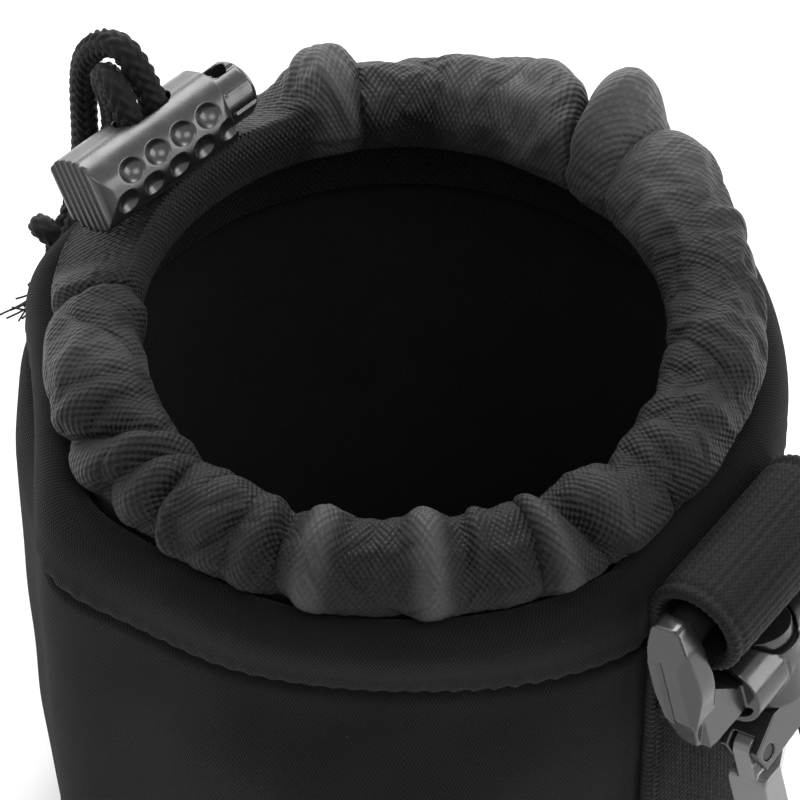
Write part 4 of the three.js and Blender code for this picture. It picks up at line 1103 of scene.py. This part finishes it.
# An arm of the eye is what three outlines have in common: seen from its end, from the front and from above.
arm_outline = bent(
    [(-1.9, -2.9), (1.9, -2.9), (3.2, 0.6), (3.7, 6.4), (0.9, 15.9), (-1.6, 15.5), (-3, 6.4), (-2.7, 0)],
    {0: 0.8, 1: 0.8, 2: 1, 3: 2, 4: 0.8, 5: 0.8, 6: 1.5, 7: 1})
arm_facets = [(ARM_INNER, -3), (ARM_OUTER - 1.3, -3), (ARM_OUTER, 2.4), (ARM_OUTER, 11),
              (ARM_OUTER - 1.2, 16), (ARM_INNER, 16)]
arm_chamfer = [(ARM_INNER, -6), (ARM_OUTER, -6), (ARM_OUTER, 1.6), (ARM_OUTER - 1.2, 4.2), (ARM_INNER, 4.2)]
gusset = [(12.9, 8.2), (15.4, 7.4), (15.4, 15.6), (7.6, 15.8), (8.6, 12)]
hub_lengths = [
    (-8, -1.8, HUB_RADIUS), (-1.9, -1.3, HUB_GROOVE), (-1.4, 1.4, HUB_RADIUS), (1.3, 1.9, HUB_GROOVE),
    (1.8, 8, HUB_RADIUS)]
eye_adds = [prism(circle(0, 0, BAR_RADIUS), -BAR_HALF, BAR_HALF, X),
            prism(rounded(-BAR_HALF, HUB_TOP, BAR_HALF, 15.8, 1.4), -BAR_RADIUS, BAR_RADIUS, Y),
            prism(circle(0, 0, HUB_RADIUS), HUB_TOP, HUB_FOOT, Z)]
for left, right, radius in hub_lengths:
    eye_adds.append(prism(circle(0, HUB_DEPTH, radius), left, right, X))
for end in (-1, 1):
    sides = sorted((end * ARM_INNER, end * ARM_OUTER))
    facets, chamfer, corner = (
        [(end * x, y) for x, y in outline] for outline in (arm_facets, arm_chamfer, gusset))
    arm = shared(prism(arm_outline, *sides, X), prism(facets, -6, 6, Y))
    eye_adds.append(shared(arm, prism(chamfer, -6, 20, Z)))
    eye_adds.append(prism(corner, -1.6, 2.4, Y))
eye_cuts = [prism(circle(0, 0, POST_HOLE), HUB_TOP - 4, HUB_FOOT + 4, Z),
            prism(circle(0, 0, POST_POCKET), HUB_TOP - 6, HUB_TOP, Z)]
for end in (-1, 1):
    sides = sorted((end * RECESS_START, end * RECESS_END))
    for low, high in ((8, 12.05), (15.75, 20)):
        hub_end = prism(circle(0, HUB_DEPTH, RECESS), *sides, X)
        eye_cuts.append(shared(hub_end, prism(rounded(-5, low, 5, high, 0.1), *sides, X)))
    edge = end * ARM_OUTER
    mould_line = rounded(edge - 0.35, -1.3, edge + 0.35, -0.8, 0.1, 3)
    eye_cuts.append(prism(mould_line, 2, 11.5, Z))
eye = moulded("swivel_eye", eye_adds, eye_cuts, HOOK_AXES, HOOK_PLACE,
              "hook_eye", hook_plastic, grain=0.14, softening=5)
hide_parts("hook_eye")

LOOP_MIDDLE, LOOP_OUTER, LOOP_INNER = 44.75, 9, 5
HALF_THICKNESS = 2.7
PIN_X, PIN_Z, PIN_HOLE, EAR = -6.4, 24.55, 1.1, 2


def loop_arc(radius, start, end, count=40):
    turns = np.radians(np.linspace(start, end, count))
    return [(radius * math.cos(t), LOOP_MIDDLE + radius * math.sin(t)) for t in turns]


def pin_hole():
    return prism(circle(PIN_X, PIN_Z, PIN_HOLE, 24), -6, 6, Y)


hook_outline = (
    bent([(-4.2, 20.35), (4.2, 20.35), (8.4, 21.8), (LOOP_OUTER, 28.75)], {2: 1.6})
    + loop_arc(LOOP_OUTER, 0, 180)
    + [(-LOOP_OUTER, 42.75), (-7.8, 41.35), (-LOOP_INNER, 43.95)]
    + loop_arc(LOOP_INNER, 180, 0)
    + bent([(LOOP_INNER, 29.15), (4.4, 26.35), (1.4, 25.75), (-7.4, 26.65), (-8.6, 23.15)], {1: 1.6, 2: 1}))
hook_adds = [prism(hook_outline, -HALF_THICKNESS, HALF_THICKNESS, Y),
             prism(circle(0, 0, POST), 11.05, 22, Z),
             prism(circle(0, 0, POST_HEAD), 10.05, 11.65, Z)]
hook_cuts = [prism(rounded(-11, 22.2, -4.05, 29.75, 0.2, 3), -1.55, 1.55, Y),
             prism(rounded(-6.4, 23.95, 0.6, 29.75, 0.2, 3), -1.25, 1.25, Y),
             pin_hole()]
hook = moulded("hook_frame", hook_adds, hook_cuts, HOOK_AXES, HOOK_PLACE,
               "snap_hook", hook_plastic, grain=0.14, softening=5)
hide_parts("hook_body")

gate_outline = bent([(-8.6, 28), (-8.6, 41), (-7.6, 41), (-5, 43.6), (-5, 28)], {0: 1.4})
ear_turns = np.linspace(math.pi, 2 * math.pi, 24)
ear_outline = [(PIN_X + EAR * math.cos(t), PIN_Z + EAR * math.sin(t)) for t in ear_turns]
gate_adds = [prism(gate_outline, -HALF_THICKNESS, HALF_THICKNESS, Y),
             prism(ear_outline + [(-4.9, 30), (-8.4, 30)], -1.2, 1.2, Y)]
gate = moulded("hook_latch", gate_adds, [pin_hole()], HOOK_AXES, HOOK_PLACE,
               "gate", gate_plastic_painted_highlight, grain=0.13, softening=4)
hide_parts("hook_gate")
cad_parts["gate_pin"].data.materials.clear()
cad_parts["gate_pin"].data.materials.append(black_steel)

# %% [markdown]
# ## The springs
#
# Two springs are hidden in the hardware: a coil behind the plunger and a leaf behind the gate. They have the
# shapes of the frame's own springs, in steel: the coil rides on the cord lock, and the leaf stays where the
# frame has it.


def spring_mesh(node):
    """A copy of the frame's own spring, without its material."""
    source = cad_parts[node]
    mesh = source.data.copy()
    mesh.transform(source.matrix_world)
    mesh.materials.clear()
    return mesh


coil = add_piece("coil_spring", spring_mesh("lock_spring"), "cord_lock", steel)
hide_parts("lock_spring")
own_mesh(coil)

leaf = new_object("leaf_spring", spring_mesh("gate_spring"))
leaf.data.materials.append(steel)
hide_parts("gate_spring")
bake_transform(leaf)
print("Springs:", coil.name, "and", leaf.name)

# %% [markdown]
# ## Stage and light
#
# The pouch stands on a pale floor in a white studio. A wide soft light hangs above and behind, so the tops
# of the gathers shine and their fronts stay dark, and weaker ones fill the left, the right and the front.

# %% Floor, world and lights
FLOOR_SIZE = 6
WORLD_FILL = 0.4
LIGHT_AIM = (0, 0, 0.09)

bpy.ops.mesh.primitive_plane_add(size=FLOOR_SIZE, location=(0, 0, 0))
floor = bpy.context.object
floor.name = "studio_floor"
floor_material, *_ = start_material("pale floor", Base_Color=(0.9, 0.9, 0.9, 1), Roughness=0.9)
floor.data.materials.append(floor_material)

# The background is plain white where it is seen or mirrored, and dimmer where it only lights.
world = bpy.data.worlds.new("studio")
bpy.context.scene.world = world
world.use_nodes = True
w = Nodes(world.node_tree)
world.node_tree.nodes.clear()
plain, seen = w.add("ShaderNodeBackground"), w.add("ShaderNodeBackground")
choose = w.add("ShaderNodeMixShader")
for background in (plain, seen):
    background.inputs["Color"].default_value = WHITE
plain.inputs["Strength"].default_value = WORLD_FILL
rays = w.add("ShaderNodeLightPath")
mirrored = w.math("MAXIMUM", rays.outputs["Is Glossy Ray"], rays.outputs["Is Transmission Ray"])
w.join(choose.inputs[0], w.math("MAXIMUM", rays.outputs["Is Camera Ray"], mirrored))
w.join(choose.inputs[1], plain.outputs[0])
w.join(choose.inputs[2], seen.outputs[0])
w.join(w.add("ShaderNodeOutputWorld").inputs[0], choose.outputs[0])


def area_light(name, place, size, power):
    data = bpy.data.lights.new(name, "AREA")
    data.shape = "RECTANGLE"
    data.size, data.size_y = size
    data.energy = power
    light = new_object(name, data)
    light.location = place
    direction = Vector(LIGHT_AIM) - Vector(place)
    light.rotation_euler = direction.to_track_quat("-Z", "Y").to_euler()


area_light("back softbox", (0.0, 0.75, 0.75), (0.9, 0.5), power=10)
area_light("low back strip", (-0.2, 1.1, 0.22), (1.4, 0.3), power=4)
area_light("left softbox", (-0.8, 0.15, 0.45), (0.5, 0.6), power=3)
area_light("right softbox", (0.8, -0.05, 0.40), (0.5, 0.6), power=4)
area_light("front softbox", (0.15, -0.45, 0.95), (0.6, 0.5), power=4)
bpy.context.scene.view_settings.view_transform = "Standard"
